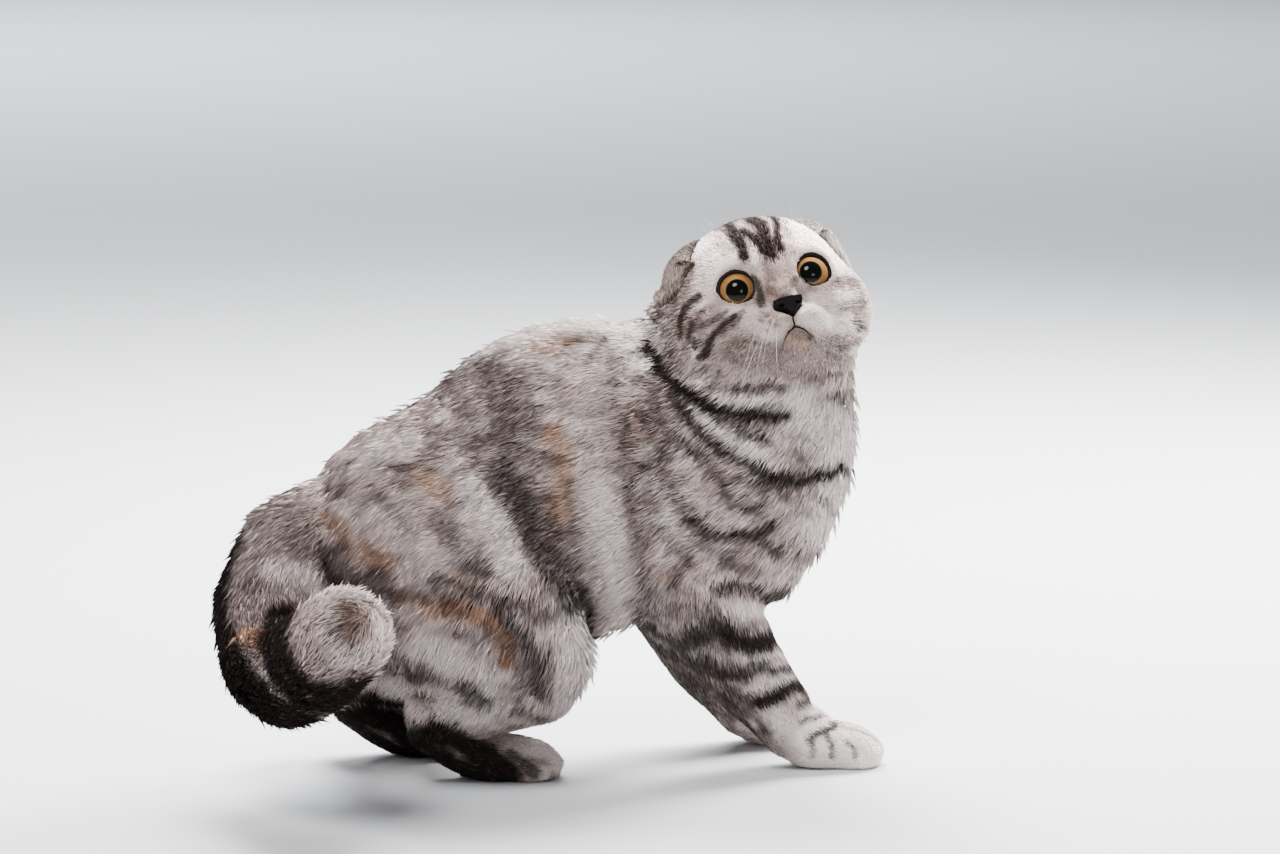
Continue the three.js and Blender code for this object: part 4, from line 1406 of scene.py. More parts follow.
def build_tufts(name, coat, marks, flat_map, draw):
    """One coat piece from its tufts' roots, directions and sizes."""
    roots = coat["roots"]
    normal = coat["normals"]
    lie = coat["lie"]
    length = coat["length"][:, None]
    width = coat["width"][:, None]
    lift = np.radians(coat["lift"])[:, None]
    side = np.cross(normal, lie)
    middle = roots + 0.42 * length * (lie * np.cos(lift * 1.25) + normal * np.sin(lift * 1.25))
    tip = roots + length * (lie * np.cos(lift * 0.8) + normal * np.sin(lift * 0.8))
    tip = gathered(tip, roots, coat["lock"], coat["pull"], draw)
    half = side * width * 0.5
    points = np.stack((roots - normal * ROOT_DEPTH, middle + half, middle - half, tip), 1)
    points[..., 2] = np.maximum(points[..., 2], coat["floor"])
    triangles = np.arange(len(roots))[:, None, None] * TUFT_POINTS + TUFT_FACES[None]
    triangles = triangles.reshape(-1, 3)
    piece = mesh_piece(name, points.reshape(-1, 3), triangles)
    put_values(piece, {"along": np.tile(TUFT_ALONG, len(roots))})
    put_values(piece, {key: np.repeat(values, TUFT_POINTS) for key, values in marks.items()})
    spots = (flat_map[:, None, :] + TUFT_PATCH[None]).reshape(-1, 2)
    layer = piece.data.uv_layers.new(name="OFBake")
    layer.uv.foreach_set("vector", spots[triangles.ravel()].astype(np.float32).ravel())
    return piece


def unrolled(places, line, row, rows):
    """A surface round a line, unrolled flat: the angle across, the way along, and one strip per line."""
    ways, share, out = nearest_on(line, places)
    first = unit(np.cross(ways, np.where(np.abs(ways[:, 2:]) > 0.9, np.array((1.0, 0.0, 0.0)), UP)))
    second = np.cross(first, ways)
    angle = np.arctan2((out * second).sum(1), (out * first).sum(1)) / FULL_TURN + 0.5
    return np.stack((0.01 + 0.975 * (row + angle) / rows, 0.01 + 0.975 * share), -1)


def opened_ball(directions, pole):
    """A rounded surface opened flat round a pole, with equal areas kept equal."""
    pole = unit(np.array(pole, float))
    first = unit(np.cross(pole, (0.0, 0.3, 1.0)))
    second = np.cross(pole, first)
    radius = np.sqrt((1 - np.clip(directions @ pole, -1, 1)) / 2)
    turn = np.arctan2(directions @ second, directions @ first)
    return np.stack((0.5 + 0.485 * radius * np.cos(turn), 0.5 + 0.485 * radius * np.sin(turn)), -1)


# The lines round which the coat's pieces are unrolled, and the poles of the two opened like a ball
UNROLLED = {
    "coat_neck": (TRUNK_LINE,),
    "coat_flank": (TRUNK_LINE,),
    "coat_rump": (TRUNK_LINE,),
    "coat_tail": (TAIL_LINE,),
    "coat_haunches": leg_lines("hindleg"),
    "coat_forelegs": leg_lines("foreleg"),
    "coat_feet": (*leg_lines("hindleg"), *leg_lines("foreleg")),
}
POLES = {"coat_face": (1, 0, -0.1), "coat_crown": (-1, 0, 0.3)}


def flat_places(name, roots):
    """Where each root of a coat piece lies on an unwrap of the skin's own shape."""
    if name in POLES:
        return opened_ball(unit(to_head(roots) - np.array((-4, 0, -10))), POLES[name])
    lines = UNROLLED[name]
    if len(lines) == 1:
        return unrolled(roots, lines[0], 0, 1)
    apart = [np.abs(roots[:, None] - line_points(line)[0][None]).sum(-1).min(1) for line in lines]
    nearest = np.argmin(apart, axis=0)
    spots = np.zeros((len(roots), 2))
    for row, line in enumerate(lines):
        mine = nearest == row
        spots[mine] = unrolled(roots[mine], line, row, len(lines))
    return spots


def tuft_marks(marks, draw):
    """The markings at each tuft, with stray hairs that make a stripe's edge soft and its ground ticked."""
    count = len(marks["charcoal"])
    stray = draw.normal(0, 1, count)
    charcoal = marks["charcoal"]
    edge = charcoal * (1 - charcoal) * 4
    ticked = (draw.uniform(0, 1, count) < 0.08 + 0.36 * marks["agouti"]) * draw.uniform(0.2, 0.75, count)
    charcoal = np.clip(charcoal + 0.2 * edge * stray, 0, 1)
    pale = (draw.uniform(0, 1, count) < 0.08) * draw.uniform(0.3, 0.7, count)
    dark = np.maximum(charcoal, ticked * (1 - marks["cream"])) * (1 - 0.2 * pale)
    mixed = {
        "charcoal": dark,
        "tan": marks["tan"] * draw.uniform(0.7, 1.2, count),
        "cream": marks["cream"] + 0.5 * pale * (1 - charcoal),
        "agouti": marks["agouti"] * draw.uniform(0.6, 1.3, count),
        "strand": 0.5 + 0.2 * draw.normal(0, 1, count),
    }
    return {name: np.clip(values, 0, 1) for name, values in mixed.items()}


def make_coat(props):
    skin = made["skin"]
    places = skin["places"]
    triangles = skin["triangles"]
    in_front = to_head(places)[:, 0] > 2
    for order, (name, (parts, count, front)) in enumerate(COAT_PIECES.items()):
        draw = np.random.default_rng(COAT_SEED + order)
        member = np.isin(skin["kinds"], parts) & ~skin["bare"]
        if front is not None:
            member &= in_front == front
        mine = triangles[member[triangles].sum(1) >= 2]
        lengths = skin["sizes"][:, 0][mine].mean(1)
        weights = 1 / np.clip(lengths / lengths.mean(), 0.45, 1.4)
        count = int(count * props.density)
        at_roots = scattered(places, mine, weights, count, draw)
        roots = at_roots(places)
        normals = unit(at_roots(skin["normals"]))
        lie = at_roots(skin["lie"])
        sizes = at_roots(skin["sizes"])
        sway = 0.16 * ripple(roots, 22, 40) + 0.12 * ripple(roots, 9, 41) + 0.1 * draw.normal(0, 1, count)
        lie = lie + np.cross(normals, lie) * sway[:, None]
        # Tufts are shorter just over the floor
        near_floor = 0.45 + 0.55 * fade(roots[:, 2], 1, 12)
        coat = {
            "roots": roots,
            "normals": normals,
            "lie": unit(flattened(lie, normals)),
            "length": sizes[:, 0] * draw.uniform(0.72, 1.18, count) * near_floor,
            "width": sizes[:, 1] * draw.uniform(0.7, 1.2, count),
            "lift": sizes[:, 2] * draw.uniform(0.7, 1.3, count),
            "lock": float(np.median(sizes[:, 0])) * 0.32,
            "pull": draw.uniform(0.05, 0.35, count),
            "floor": TUFT_FLOOR,
        }
        marks = tuft_marks({key: at_roots(values) for key, values in skin["marks"].items()}, draw)
        piece = build_tufts(name, coat, marks, flat_places(name, roots), draw)
        finish_piece(piece, made["fur"])
    make_guard_hairs(props)


def guard_weights(places, kinds):
    """How thickly the guard hairs stand, most of all under the belly and before the thighs."""
    weight = np.zeros(len(places))
    weight[np.isin(kinds, ("neck", "chest"))] = 0.7
    weight[kinds == "tail"] = 0.8
    weight[kinds == "thigh"] = 0.7
    weight[np.isin(kinds, ("flank", "rump"))] = 0.25
    weight[(kinds == "flank") & (places[:, 2] < 92)] = 1.6
    weight[(kinds == "thigh") & (places[:, 0] > -62)] = 2.0
    weight[(kinds == "head") & (to_head(places)[:, 0] < 4)] = 0.35
    weight[places[:, 2] < 24] = 0
    return weight


def make_guard_hairs(props):
    """Longer, finer hairs that stand off the chest, the belly, the haunches and the tail."""
    skin = made["skin"]
    places = skin["places"]
    draw = np.random.default_rng(GUARD_SEED)
    weight = guard_weights(places, skin["kinds"])
    mine = skin["triangles"][weight[skin["triangles"]].min(1) > 0]
    count = int(GUARD_HAIRS * props.density)
    at_roots = scattered(places, mine, weight[mine].mean(1), count, draw)
    roots = at_roots(places)
    normals = unit(at_roots(skin["normals"]))
    lie = at_roots(skin["lie"]) + 0.3 * draw.normal(0, 1, (count, 3))
    coat = {
        "roots": roots,
        "normals": normals,
        "lie": unit(flattened(lie, normals)),
        "length": at_roots(skin["sizes"])[:, 0] * draw.uniform(1.1, 1.4, count),
        "width": draw.uniform(0.15, 0.24, count),
        "lift": draw.uniform(20, 40, count),
        "lock": 3.0,
        "pull": draw.uniform(0.0, 0.15, count),
        "floor": TUFT_FLOOR,
    }
    marks = {key: at_roots(values) for key, values in skin["marks"].items()}
    marks["cream"] = np.maximum(marks["cream"], 0.25 * (1 - marks["charcoal"]))
    turn = np.arctan2(roots[:, 1], roots[:, 2] - 120) / FULL_TURN + 0.5
    flat = 0.01 + 0.97 * np.stack((turn, nearest_on(TRUNK_LINE, roots)[1]), -1)
    piece = build_tufts("coat_guard", coat, tuft_marks(marks, draw), flat, draw)
    finish_piece(piece, made["fur"])


# Ears: each is a flap that follows the skull from its root, swells off it and folds forward until its front
# edge lies by the fur. Places are directions from the head's centre, with the ear on the cat's left.
EAR_INNER = (-3, 17, 42)
EAR_BACK = (-25, 38, 26)
EAR_OUTER = (-11, 54, -3)
EAR_TIP = (13, 37, 25)
EAR_RISE = 7.0
EAR_THICKNESS = 1.7
EAR_ROOT_DEPTH = 1.5
# No skull is looked for farther out than this, where a ray would run on to the shoulder
EAR_FARTHEST = 51.0
# How dark and how pale each ear's fur is, as the photograph shows them; the near ear's extra dark is painted
# shade
EAR_SHADES = {RIGHT: (0.28, 0.0), LEFT: (0.04, 0.3)}
INSIDE_MARKS_AND_SHADE = {"charcoal": 0.7, "tan": 0.4, "cream": 0.0, "agouti": 1.0}


def ear_sheet(tree, side, across, forward):
    """Where the ear's sheet lies over the skull, and the skull's distance there. Across runs -1 to 1."""
    inner, back, outer, tip = (unit(np.array(p, float)) for p in (EAR_INNER, EAR_BACK, EAR_OUTER, EAR_TIP))
    u = across[:, None]
    v = forward[:, None]
    root = inner * u * (u - 1) / 2 + back * (1 - u * u) + outer * u * (u + 1) / 2
    middle = back + (tip - back) * v
    narrow = 1 - np.sqrt(1 - v * v * 0.97)
    way = root + (tip - root) * v
    way = on_side(unit(way + (middle - way) * narrow), side)
    skull = []
    for ray in way:
        hit = tree.ray_cast(Vector((0, 0, 0)), Vector(ray), EAR_FARTHEST)[0]
        skull.append(hit.length if hit else EAR_FARTHEST)
    return way, np.array(skull)


def ear_lift(across, forward):
    """How far the flap's outside stands off the skull."""
    bow = np.sin(math.pi * (0.03 + 0.83 * forward**0.8))
    sides = 0.22 + 0.78 * np.maximum(1 - across**2, 0) ** 0.6
    return 1.4 + EAR_RISE * bow * sides - 3.5 * (1 - forward) ** 3


def ear_flap(tree, side, label):
    """The folded ear's skin: its object, how far across and forward its vertices are, which lie outside."""
    deselect_all()
    bpy.ops.mesh.primitive_grid_add(x_subdivisions=48, y_subdivisions=44, size=2.0)
    ear = named(bpy.context.object, f"ear_skin_{label}")
    spots = vertex_places(ear.data)
    put_values(ear, {"across": spots[:, 0], "forward": (spots[:, 1] + 1) / 2})
    edited(ear, (bpy.ops.mesh.extrude_region, {}))
    across, forward = np.empty((2, len(ear.data.vertices)))
    outside = np.empty(len(ear.data.vertices), bool)
    ear.data.attributes["across"].data.foreach_get("value", across)
    ear.data.attributes["forward"].data.foreach_get("value", forward)
    ear.data.vertices.foreach_get("select", outside)
    way, skull = ear_sheet(tree, side, across, forward)
    lift = ear_lift(across, forward)
    under = (lift - EAR_THICKNESS + EAR_ROOT_DEPTH) * fade(forward, 0.5, 0.8) - EAR_ROOT_DEPTH
    put_places(ear, from_head(way * (skull + np.where(outside, lift, under))[:, None]))
    all_outwards = (bpy.ops.mesh.normals_make_consistent, {"inside": False})
    edited(ear, (bpy.ops.mesh.quads_convert_to_tris, {}), all_outwards)
    places, triangles, _ = mesh_arrays(ear)
    if (outward(places, triangles) * (way @ HEAD_TURN.T))[outside].sum(1).mean() < 0:
        edited(ear, (bpy.ops.mesh.flip_normals, {}))
    return ear, across, forward, outside.astype(float)


def ear_marks(side, places, across, forward, outside):
    shade, pale = EAR_SHADES[side]
    patch = bump(across - 0.35, 0.42) * fade(forward, 0.66, 0.86)
    # The flap's underside is darker: partly the ear's dark hair, partly painted shade under the fold
    dark = shade + 0.2 * ripple(places, 10, 20) + 0.75 * (1 - outside) + 0.7 * patch
    return {
        "charcoal": np.clip(dark, 0, 1),
        "tan": 0.25 * outside * fade(forward, 0.3, 0.8),
        "cream": outside * (pale + 0.3 * fade(forward, 0.4, 0.7)) * (1 - patch),
        "agouti": 0.95 - 0.3 * fade(forward, 0.3, 0.9),
    }


def make_ears():
    tree = skull_tree()
    for side, label in SIDES:
        ear, across, forward, outside = ear_flap(tree, side, label)
        places, triangles, _ = mesh_arrays(ear)
        marks = ear_marks(side, places, across, forward, outside)
        put_values(ear, marks)
        finish_piece(ear, made["undercoat"], (f"ear_{label}",))

        draw = np.random.default_rng(EAR_SEED + side)
        mine = in_order(triangles[outside[triangles].sum(1) >= 2])
        at_roots = scattered(places, mine, np.ones(len(mine)), EAR_TUFTS, draw)
        roots = at_roots(places)
        normals = unit(at_roots(outward(places, triangles)))
        spots = np.stack((at_roots(across), at_roots(forward)), -1)
        at = {key: at_roots(values) for key, values in marks.items()}
        ahead = ear_sheet(tree, side, spots[:, 0] * 0.97, np.minimum(spots[:, 1] + 0.06, 1.0))[0]
        here = ear_sheet(tree, side, spots[:, 0], spots[:, 1])[0]
        lie = unit(ahead - here) @ HEAD_TURN.T + 0.22 * draw.normal(0, 1, (EAR_TUFTS, 3))
        lie = unit(flattened(lie, normals))

        # The dark tufts under the flap's front edge: partly the ear's dark hair, partly painted shade under
        # the fold
        inside = np.stack(
            (draw.uniform(-0.5, 0.9, EAR_INSIDE_TUFTS), draw.uniform(0.72, 1.0, EAR_INSIDE_TUFTS)), -1
        )
        way, skull = ear_sheet(tree, side, inside[:, 0], inside[:, 1])
        front = on_side((0.8, -0.2, -0.4), side) + 0.3 * draw.normal(0, 1, (EAR_INSIDE_TUFTS, 3))
        front = unit(flattened(front, way)) @ HEAD_TURN.T
        for key, values in at.items():
            at[key] = np.concatenate((values, np.full(EAR_INSIDE_TUFTS, INSIDE_MARKS_AND_SHADE[key])))
        total = EAR_TUFTS + EAR_INSIDE_TUFTS
        coat = {
            "roots": np.concatenate((roots, from_head(way * (skull - 0.2)[:, None]))),
            "normals": np.concatenate((normals, way @ HEAD_TURN.T)),
            "lie": np.concatenate((lie, front)),
            "length": draw.uniform(2.8, 5.0, total) * np.where(np.arange(total) < EAR_TUFTS, 1.0, 1.3),
            "width": draw.uniform(0.3, 0.48, total),
            "lift": draw.uniform(14, 32, total),
            "lock": 2.0,
            "pull": draw.uniform(0.1, 0.4, total),
            "floor": 0.0,
        }
        flat = np.concatenate((spots, inside)) * (0.48, 0.97) + (0.5, 0.01)
        fur = build_tufts(f"coat_ear_{label}", coat, tuft_marks(at, draw), flat, draw)
        finish_piece(fur, made["fur"])


# Eyes and lids

# Where the photograph shows the middles of the pupils, in its pixels
PUPIL_PIXELS = {RIGHT: (737.0, 290.0), LEFT: (810.8, 271.6)}
LID_RING = 10
LID_STANDOFF = 0.75


def gaze(side):
    """The way an eye looks, in the head's frame: its pupil falls on its place in the photograph."""
    across, down = PUPIL_PIXELS[side]
    across -= PHOTO_WIDTH / 2
    down -= PHOTO_HEIGHT / 2
    ray = unit(across * VIEW_RIGHT - down * VIEW_UP - FOCAL_PIXELS * VIEW_BACK)
    away = CAMERA_PLACE - from_head(eye_centre(side))
    half = away @ ray
    reach = -half - math.sqrt(half**2 - away @ away + EYE_RADIUS**2)
    return unit((away + reach * ray) @ HEAD_TURN)


def make_eyes(props):
    for side, label in SIDES:
        deselect_all()
        bpy.ops.mesh.primitive_uv_sphere_add(segments=96, ring_count=64, radius=EYE_RADIUS * MM)
        eye = named(bpy.context.object, f"eyeball_{label}")
        ball = unit(vertex_places(eye.data))
        # The pole turns to the gaze, and the cornea stands out round it
        lean = np.degrees(np.arccos(np.clip(ball[:, 2], -1, 1)))
        bulge = props.cornea * (1 - fade(lean, 8, 66))
        forward = gaze(side)
        across = unit(np.cross(forward, UP))
        turned = ball @ np.stack((across, np.cross(forward, across), forward))
        put_places(eye, from_head(eye_centre(side) + turned * (EYE_RADIUS + bulge)[:, None]))
        put_values(eye, {"from_gaze": np.where(lean < 90, np.sin(np.radians(lean)), 1.0)})
        # The iris's fibres run out from the pupil, so they are drawn in the turn round the gaze
        fibre = unit(ball * (1, 1, 0) + 1e-9)
        fibre[:, 2] = lean / 400
        attribute = eye.data.attributes.new("fibre", "FLOAT_VECTOR", "POINT")
        attribute.data.foreach_set("vector", fibre.astype(np.float32).ravel())
        finish_piece(eye, made["eye"], (f"eye_{label}",))


def make_lids():
    """The bare dark rims of the lids, heavier above, drawn out to the inner corner."""
    for side, label in SIDES:
        deselect_all()
        radii = {"major_radius": LID_RING * MM, "minor_radius": MM}
        bpy.ops.mesh.primitive_torus_add(major_segments=96, minor_segments=12, **radii)
        rim = named(bpy.context.object, f"lid_rim_{label}")
        ring = vertex_places(rim.data) / MM
        turn = np.arctan2(ring[:, 1], ring[:, 0])
        section = np.stack((np.hypot(ring[:, 0], ring[:, 1]) - LID_RING, ring[:, 2]), -1)
        out = eye_axis(side)
        level = unit(np.cross(UP, out))
        # An angle of 0 points to the cat's left, and a quarter turn points up
        above = np.clip(np.sin(turn), 0, 1)
        inner = math.pi if side == LEFT else 0.0
        corner = bump(np.angle(np.exp(1j * (turn - inner - side * 0.55))), 0.3)
        thick = (0.75 + 1.3 * above**1.2 + 1.1 * corner)[:, None]
        lean = np.radians(51.5 + 8.0 * corner + 1.6 * above)[:, None]
        ways = np.cos(turn)[:, None] * level + np.sin(turn)[:, None] * np.cross(out, level)
        radial = ways * np.sin(lean) + out * np.cos(lean)
        along = ways * np.cos(lean) - out * np.sin(lean)
        flat = section[:, :1] * thick * 1.15 * along
        high = section[:, 1:] * thick * 0.8 * radial
        put_places(rim, from_head(eye_centre(side) + radial * (EYE_RADIUS + LID_STANDOFF) + flat + high))
        edited(rim, (bpy.ops.mesh.normals_make_consistent, {"inside": False}))
        finish_piece(rim, made["lid"])


# Nose and lips

NOSE_VOXEL = 0.32
LIP_RADIUS = 0.75


def make_nose():
    nose = welded_copy(("nose",), "nose_leather")
    remeshed(nose, NOSE_VOXEL)
    nose = keep_largest(nose)
    places, _, edges = mesh_arrays(nose)
    places = spread(places, edges, 10, 0.5, -0.5)
    put_places(nose, places)
    head = to_head(places)
    made["nose_room"] = (head.min(0), head.max(0))
    finish_piece(nose, made["leather"], ("nose",))


def make_lips():
    """The dark line of the mouth, a thin rounded lip that follows the skin."""
    tree = skull_tree()
    for number, line in enumerate(MOUTH_LINES):
        points, _ = line_points([(0.0, *spot) for spot in line], 10)
        curve = bpy.data.curves.new(f"lip_{number}", "CURVE")
        curve.dimensions = "3D"
        curve.bevel_depth = LIP_RADIUS * MM
        curve.bevel_resolution = 2
        curve.use_fill_caps = True
        spline = curve.splines.new("POLY")
        spline.points.add(len(points) - 1)
        for i, (_, y, z) in enumerate(points):
            hit = tree.ray_cast(Vector((60, y, z)), Vector((-1, 0, 0)))[0]
            place = to_row(from_head((hit.x - 0.15, y, z)))
            spline.points[i].co = (*place, 1.0)
            spline.points[i].radius = 1.0 if number == 0 else 1.25 - 1.1 * (i / len(points)) ** 0.8
        lip = bpy.data.objects.new(f"lip_{number}", curve)
        bpy.context.collection.objects.link(lip)
        only(lip)
        bpy.ops.object.convert(target="MESH")
        finish_piece(bpy.context.object, made["lip"])


# Whiskers: their roots as places across the face, and for each kind its way, its bend and its lengths, on the
# cat's left. The near side's droop and the far side's stand out, as the photograph shows them.

WHISKER_SPOTS = (
    (9.0, -27.5),
    (12.5, -26.5),
    (15.5, -27.0),
    (9.5, -30.5),
    (13.0, -30.0),
    (16.5, -30.5),
    (10.5, -33.5),
    (14.0, -33.5),
    (17.0, -34.0),
)
BROW_SPOTS = ((16.0, 13.5), (19.0, 14.5), (22.0, 13.5))
NEAR_WHISKERS = (WHISKER_SPOTS[::2], (0.75, 0.7, -0.75), (-0.3, 0.0, -0.35), (34, 58))
FAR_WHISKERS = (WHISKER_SPOTS, (0.3, 0.7, -0.1), (-0.3, 0.0, -0.35), (34, 58))
BROW_HAIRS = (BROW_SPOTS, (0.5, 0.45, 0.8), (-0.6, 0.1, 0.0), (20, 34))
WHISKER_RADIUS = 0.085


def hair_tube(start, way, sag, length, sides=4, steps=9):
    """Places and triangles of one tapered hair that leaves along way and bends towards sag."""
    share = np.linspace(0, 1, steps)
    line = start + length * (share[:, None] * way + (share**2)[:, None] * sag)
    ways = unit(np.gradient(line, axis=0))
    first = unit(np.cross(ways, (0.3, 0.5, 0.8)))
    second = np.cross(ways, first)
    radius = WHISKER_RADIUS * (1 - share * 0.92)
    turn = np.arange(sides) / sides * FULL_TURN
    ring = np.cos(turn)[None, :, None] * first[:, None] + np.sin(turn)[None, :, None] * second[:, None]
    places = (line[:, None] + ring * radius[:, None, None]).reshape(-1, 3)
    triangles = []
    for k in range(steps - 1):
        for i in range(sides):
            a = k * sides + i
            b = k * sides + (i + 1) % sides
            triangles += [(a, b, b + sides), (a, b + sides, a + sides)]
    last = (steps - 1) * sides
    for i in range(1, sides - 1):
        triangles += [(0, i + 1, i), (last, last + i, last + i + 1)]
    return places, np.array(triangles), np.repeat(share, sides)


def make_whiskers():
    tree = skull_tree()
    draw = np.random.default_rng(WHISKER_SEED)
    for side, label in SIDES:
        places = []
        triangles = []
        along = []
        count = 0
        kinds = (NEAR_WHISKERS if side == RIGHT else FAR_WHISKERS, BROW_HAIRS)
        hairs = [(spot, *rest) for spots, *rest in kinds for spot in spots]
        for (y, z), way, sag, (short, long) in hairs:
            hit = tree.ray_cast(Vector((70, y * side, z)), Vector((-1, 0, 0)))[0]
            start = np.array(hit) - np.array((0.5, 0, 0))
            way = unit(np.array(way) + 0.14 * draw.normal(0, 1, 3) + np.array((0, 0, (z + 30) * 0.05)))
            sag = np.array(sag) * (0.5 + 0.4 * draw.uniform())
            length = draw.uniform(short, long)
            hair = hair_tube(start, on_side(way, side), on_side(sag, side), length)
            places.append(from_head(hair[0]))
            triangles.append(hair[1] + count)
            along.append(hair[2])
            count += len(hair[0])
        piece = mesh_piece(f"whiskers_{label}", np.concatenate(places), np.concatenate(triangles))
        put_values(piece, {"along": np.concatenate(along)})
        finish_piece(piece, made["whisker"])


# Floor, light and camera

FLOOR_SIZE = 24.0
ROOM_COLOUR = (0.88, 0.91, 0.96, 1.0)
# How bright the room is where the camera sees it
BACKDROP = 0.8
LAMP_TARGET = (0, 0, 150)
# Each lamp: its place round the cat and its distance, its size in metres, its share of the key light, its
# colour, and whether glossy surfaces show it
LAMPS = {
    "key": ((-40, 56, 1700), 0.7, 1.0, (1.0, 0.985, 0.965), True),
    "fill": ((8, 18, 2000), 0.6, 0.2, (0.97, 0.98, 1.0), True),
    "rim": ((118, 36, 1500), 0.7, 2.6, (1.0, 0.99, 0.98), False),
    "top": ((170, 56, 1500), 0.9, 3.0, (1.0, 1.0, 1.0), False),
}
BACKDROP_LAMP = ((0, 6500, 4500), (0, 7000, 0), 3.0, 16)


def area_light(name, place, target, size, power, colour, shown):
    light = bpy.data.lights.new(name, "AREA")
    light.shape = "DISK"
    light.size = size
    light.energy = power
    light.color = colour
    lamp = bpy.data.objects.new(name, light)
    bpy.context.collection.objects.link(lamp)
    lamp.location = to_row(place)
    lamp.visible_glossy = shown
    way = Vector(to_row(target)) - lamp.location
    lamp.rotation_euler = way.to_track_quat("-Z", "Y").to_euler()


def make_floor(props):
    deselect_all()
    bpy.ops.mesh.primitive_plane_add(size=FLOOR_SIZE)
    floor = bpy.context.object
    floor.name = "floor"
    floor.data.materials.append(floor_material(props))


def make_light(props):
    world = bpy.data.worlds.new("Studio")
    world.use_nodes = True
    nodes = Nodes(world.node_tree)
    back = world.node_tree.nodes["Background"]
    seen = nodes.add("ShaderNodeLightPath").outputs["Is Camera Ray"]
    nodes.feed(back, "Color", ROOM_COLOUR)
    nodes.feed(back, "Strength", nodes.ranged(seen, 0.0, 1.0, props.room_light, BACKDROP))
    bpy.context.scene.world = world
    for name, ((azimuth, elevation, distance), size, share, colour, shown) in LAMPS.items():
        place = CAMERA_TARGET + distance * bearing(azimuth, elevation)
        area_light(name, place, LAMP_TARGET, size, props.key_light * share, colour, shown)
    place, target, size, share = BACKDROP_LAMP
    area_light("backdrop", place, target, size, props.key_light * share, (1.0, 1.0, 1.0), True)


def make_camera():
    camera = bpy.data.cameras.new("Camera")
    camera.sensor_fit = "HORIZONTAL"
    camera.sensor_width = SENSOR_WIDTH
    camera.lens = FOCAL_PIXELS * SENSOR_WIDTH / PHOTO_WIDTH
    camera.clip_end = 50.0
    camera.dof.use_dof = False
    eye = bpy.data.objects.new("Camera", camera)
    bpy.context.collection.objects.link(eye)
    turn = Matrix(np.stack((VIEW_RIGHT, VIEW_UP, VIEW_BACK), -1).tolist())
    eye.matrix_world = Matrix.Translation(Vector(to_row(CAMERA_PLACE))) @ turn.to_4x4()
    bpy.context.scene.camera = eye


# What a user can change


def colour_property(name, description, default):
    return FloatVectorProperty(
        name=name, description=description, default=default, size=3, min=0.0, max=1.0, subtype="COLOR"
    )


class CatCoatSettings(bpy.types.PropertyGroup):
    silver: colour_property("Silver", "Ground colour of the coat", (0.62, 0.497, 0.465))
    agouti: colour_property(
        "Agouti", "Ticked grey-brown of the back, the sides and the nape", (0.15, 0.11, 0.103)
    )
    charcoal: colour_property("Charcoal", "Colour of the stripes", (0.013, 0.0085, 0.0075))
    tan: colour_property("Tan", "Warm patches on the back, thigh and tail", (0.37, 0.19, 0.1))
    cream: colour_property("Cream", "Paws, muzzle and the palest fur", (0.93, 0.815, 0.785))
    density: FloatProperty(
        name="Density",
        description="Share of the full number of tufts",
        default=1.0,
        min=0.05,
        max=1.0,
        subtype="FACTOR",
    )


class CatFaceSettings(bpy.types.PropertyGroup):
    iris: colour_property("Iris", "Copper of the iris", (0.215, 0.104, 0.035))
    pupil_radius: FloatProperty(
        name="Pupil radius",
        description="Radius of the round pupil, in millimetres",
        default=5.2,
        min=1.0,
        max=8.0,
    )
    cornea: FloatProperty(
        name="Cornea",
        description="How far the cornea stands out of the eyeball, in millimetres",
        default=1.3,
        min=0.0,
        max=3.0,
    )
    leather: colour_property("Nose leather", "Colour of the bare skin of the nose", (0.0024, 0.002, 0.0022))
    lid: colour_property("Lid rim", "Colour of the bare rims of the lids", (0.007, 0.0045, 0.004))
    lip: colour_property("Lip", "Colour of the line of the mouth", (0.02, 0.011, 0.01))


class CatStageSettings(bpy.types.PropertyGroup):
    floor_colour: colour_property("Floor", "Colour of the studio floor", (0.56, 0.575, 0.6))
    key_light: FloatProperty(
        name="Key light",
        description="Power of the main lamp, in watts",
        default=46.0,
        min=1.0,
        max=400.0,
        unit="POWER",
    )
    room_light: FloatProperty(
        name="Room light",
        description="Brightness of the room around the cat",
        default=0.24,
        min=0.0,
        max=4.0,
    )


class OBJECT_OT_cat_finishes(bpy.types.Operator):
    """Builds the finishes that the cat's pieces share"""

    bl_idname = "object.cat_finishes"
    bl_label = "Finishes"

    def execute(self, context):
        coat = context.scene.cat_coat
        face = context.scene.cat_face
        made["coat_colour"] = coat_colour_group()
        made["bare_skin"] = bare_skin_group()
        made["fur"] = fur_material(coat)
        made["undercoat"] = skin_material(coat)
        made["eye"] = eye_material(face)
        made["leather"] = bare_skin_material("NoseLeather", tuple(face.leather), 0.38, 1400.0)
        made["lid"] = bare_skin_material("LidRim", tuple(face.lid), 0.35, 2400.0)
        made["lip"] = bare_skin_material("Lip", tuple(face.lip), 0.5, 2000.0)
        made["whisker"] = whisker_material()
        return {"FINISHED"}


class OBJECT_OT_cat_nose(bpy.types.Operator):
    """Makes the nose leather"""

    bl_idname = "object.cat_nose"
    bl_label = "Nose"

    def execute(self, context):
        make_nose()
        return {"FINISHED"}


class OBJECT_OT_cat_skin(bpy.types.Operator):
    """Makes the one skin that stands for all nodes of flesh"""

    bl_idname = "object.cat_skin"
    bl_label = "Skin"

    def execute(self, context):
        make_skin()
        coat_fields()
        return {"FINISHED"}


class OBJECT_OT_cat_ears(bpy.types.Operator):
    """Makes the two folded ears with their short fur"""

    bl_idname = "object.cat_ears"
    bl_label = "Ears"

    def execute(self, context):
        make_ears()
        return {"FINISHED"}


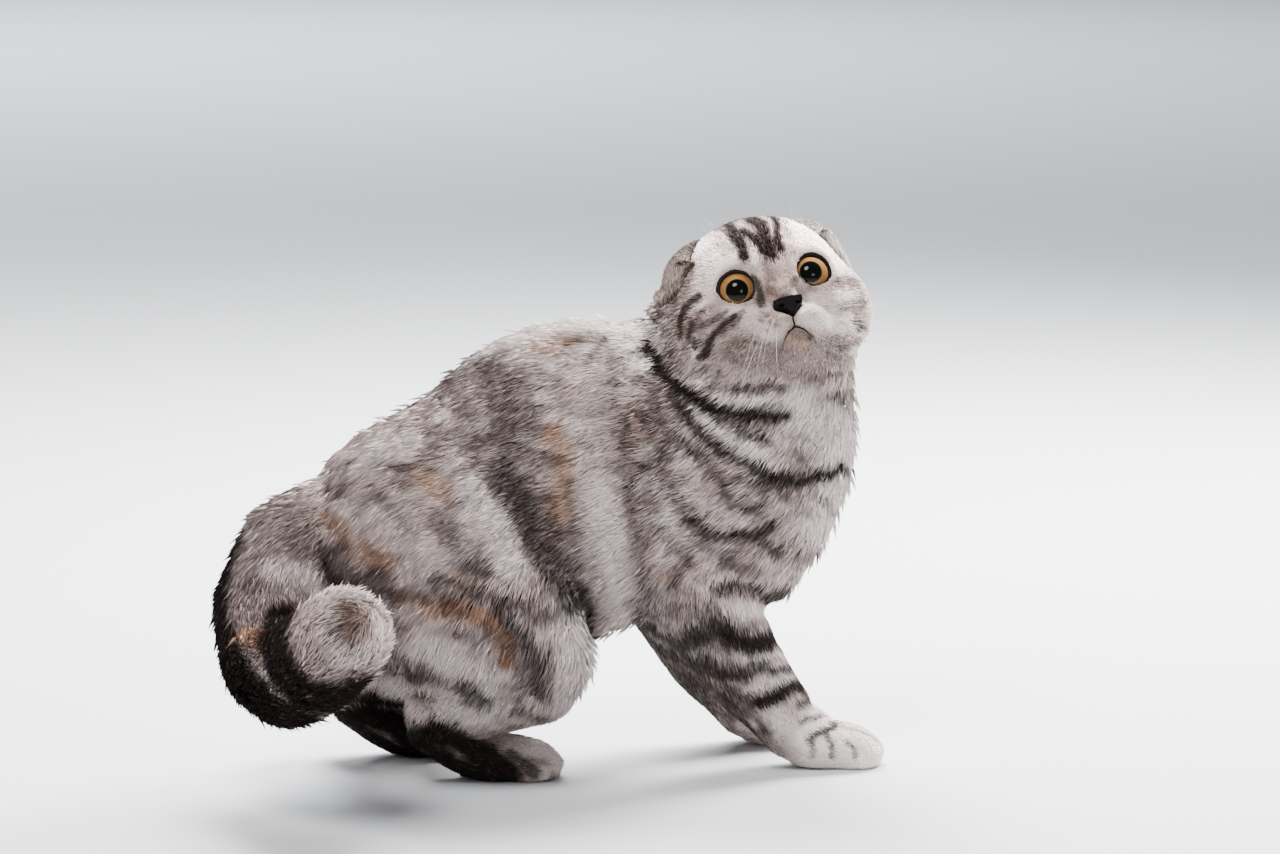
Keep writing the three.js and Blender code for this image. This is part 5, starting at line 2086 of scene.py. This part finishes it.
class OBJECT_OT_cat_eyes(bpy.types.Operator):
    """Makes the eyeballs and the rims of their lids"""

    bl_idname = "object.cat_eyes"
    bl_label = "Eyes"

    def execute(self, context):
        make_eyes(context.scene.cat_face)
        make_lids()
        return {"FINISHED"}


class OBJECT_OT_cat_lips(bpy.types.Operator):
    """Makes the line of the mouth"""

    bl_idname = "object.cat_lips"
    bl_label = "Lips"

    def execute(self, context):
        make_lips()
        return {"FINISHED"}


class OBJECT_OT_cat_coat(bpy.types.Operator):
    """Covers the skin with tufts"""

    bl_idname = "object.cat_coat"
    bl_label = "Coat"

    def execute(self, context):
        make_coat(context.scene.cat_coat)
        return {"FINISHED"}


class OBJECT_OT_cat_whiskers(bpy.types.Operator):
    """Adds the whiskers and the brow hairs"""

    bl_idname = "object.cat_whiskers"
    bl_label = "Whiskers"

    def execute(self, context):
        make_whiskers()
        return {"FINISHED"}


class OBJECT_OT_cat_stage(bpy.types.Operator):
    """Adds the floor, the lamps and the camera"""

    bl_idname = "object.cat_stage"
    bl_label = "Stage"

    def execute(self, context):
        make_floor(context.scene.cat_stage)
        make_light(context.scene.cat_stage)
        make_camera()
        return {"FINISHED"}


OPERATORS = (
    OBJECT_OT_cat_finishes,
    OBJECT_OT_cat_nose,
    OBJECT_OT_cat_skin,
    OBJECT_OT_cat_ears,
    OBJECT_OT_cat_eyes,
    OBJECT_OT_cat_lips,
    OBJECT_OT_cat_coat,
    OBJECT_OT_cat_whiskers,
    OBJECT_OT_cat_stage,
)
SETTINGS = {
    "cat_coat": CatCoatSettings,
    "cat_face": CatFaceSettings,
    "cat_stage": CatStageSettings,
}


class VIEW3D_PT_cat(bpy.types.Panel):
    bl_idname = "VIEW3D_PT_cat"
    bl_label = "Fold-eared cat"
    bl_space_type = "VIEW_3D"
    bl_region_type = "UI"
    bl_category = "Cat"

    def draw(self, context):
        for name, settings in SETTINGS.items():
            box = self.layout.box()
            for field in settings.__annotations__:
                box.prop(getattr(context.scene, name), field)
        for operator in OPERATORS:
            self.layout.operator(operator.bl_idname)


def register():
    for settings in SETTINGS.values():
        bpy.utils.register_class(settings)
    for name, settings in SETTINGS.items():
        setattr(bpy.types.Scene, name, PointerProperty(type=settings))
    for operator in OPERATORS:
        bpy.utils.register_class(operator)
    bpy.utils.register_class(VIEW3D_PT_cat)


def unregister():
    bpy.utils.unregister_class(VIEW3D_PT_cat)
    for operator in reversed(OPERATORS):
        bpy.utils.unregister_class(operator)
    for name in SETTINGS:
        delattr(bpy.types.Scene, name)
    for settings in reversed(SETTINGS.values()):
        bpy.utils.unregister_class(settings)


def main():
    register()
    bpy.ops.object.cat_finishes()
    bpy.ops.object.cat_nose()
    bpy.ops.object.cat_skin()
    bpy.ops.object.cat_ears()
    bpy.ops.object.cat_eyes()
    bpy.ops.object.cat_lips()
    bpy.ops.object.cat_coat()
    bpy.ops.object.cat_whiskers()
    bpy.ops.object.cat_stage()


if __name__ == "__main__":
    main()
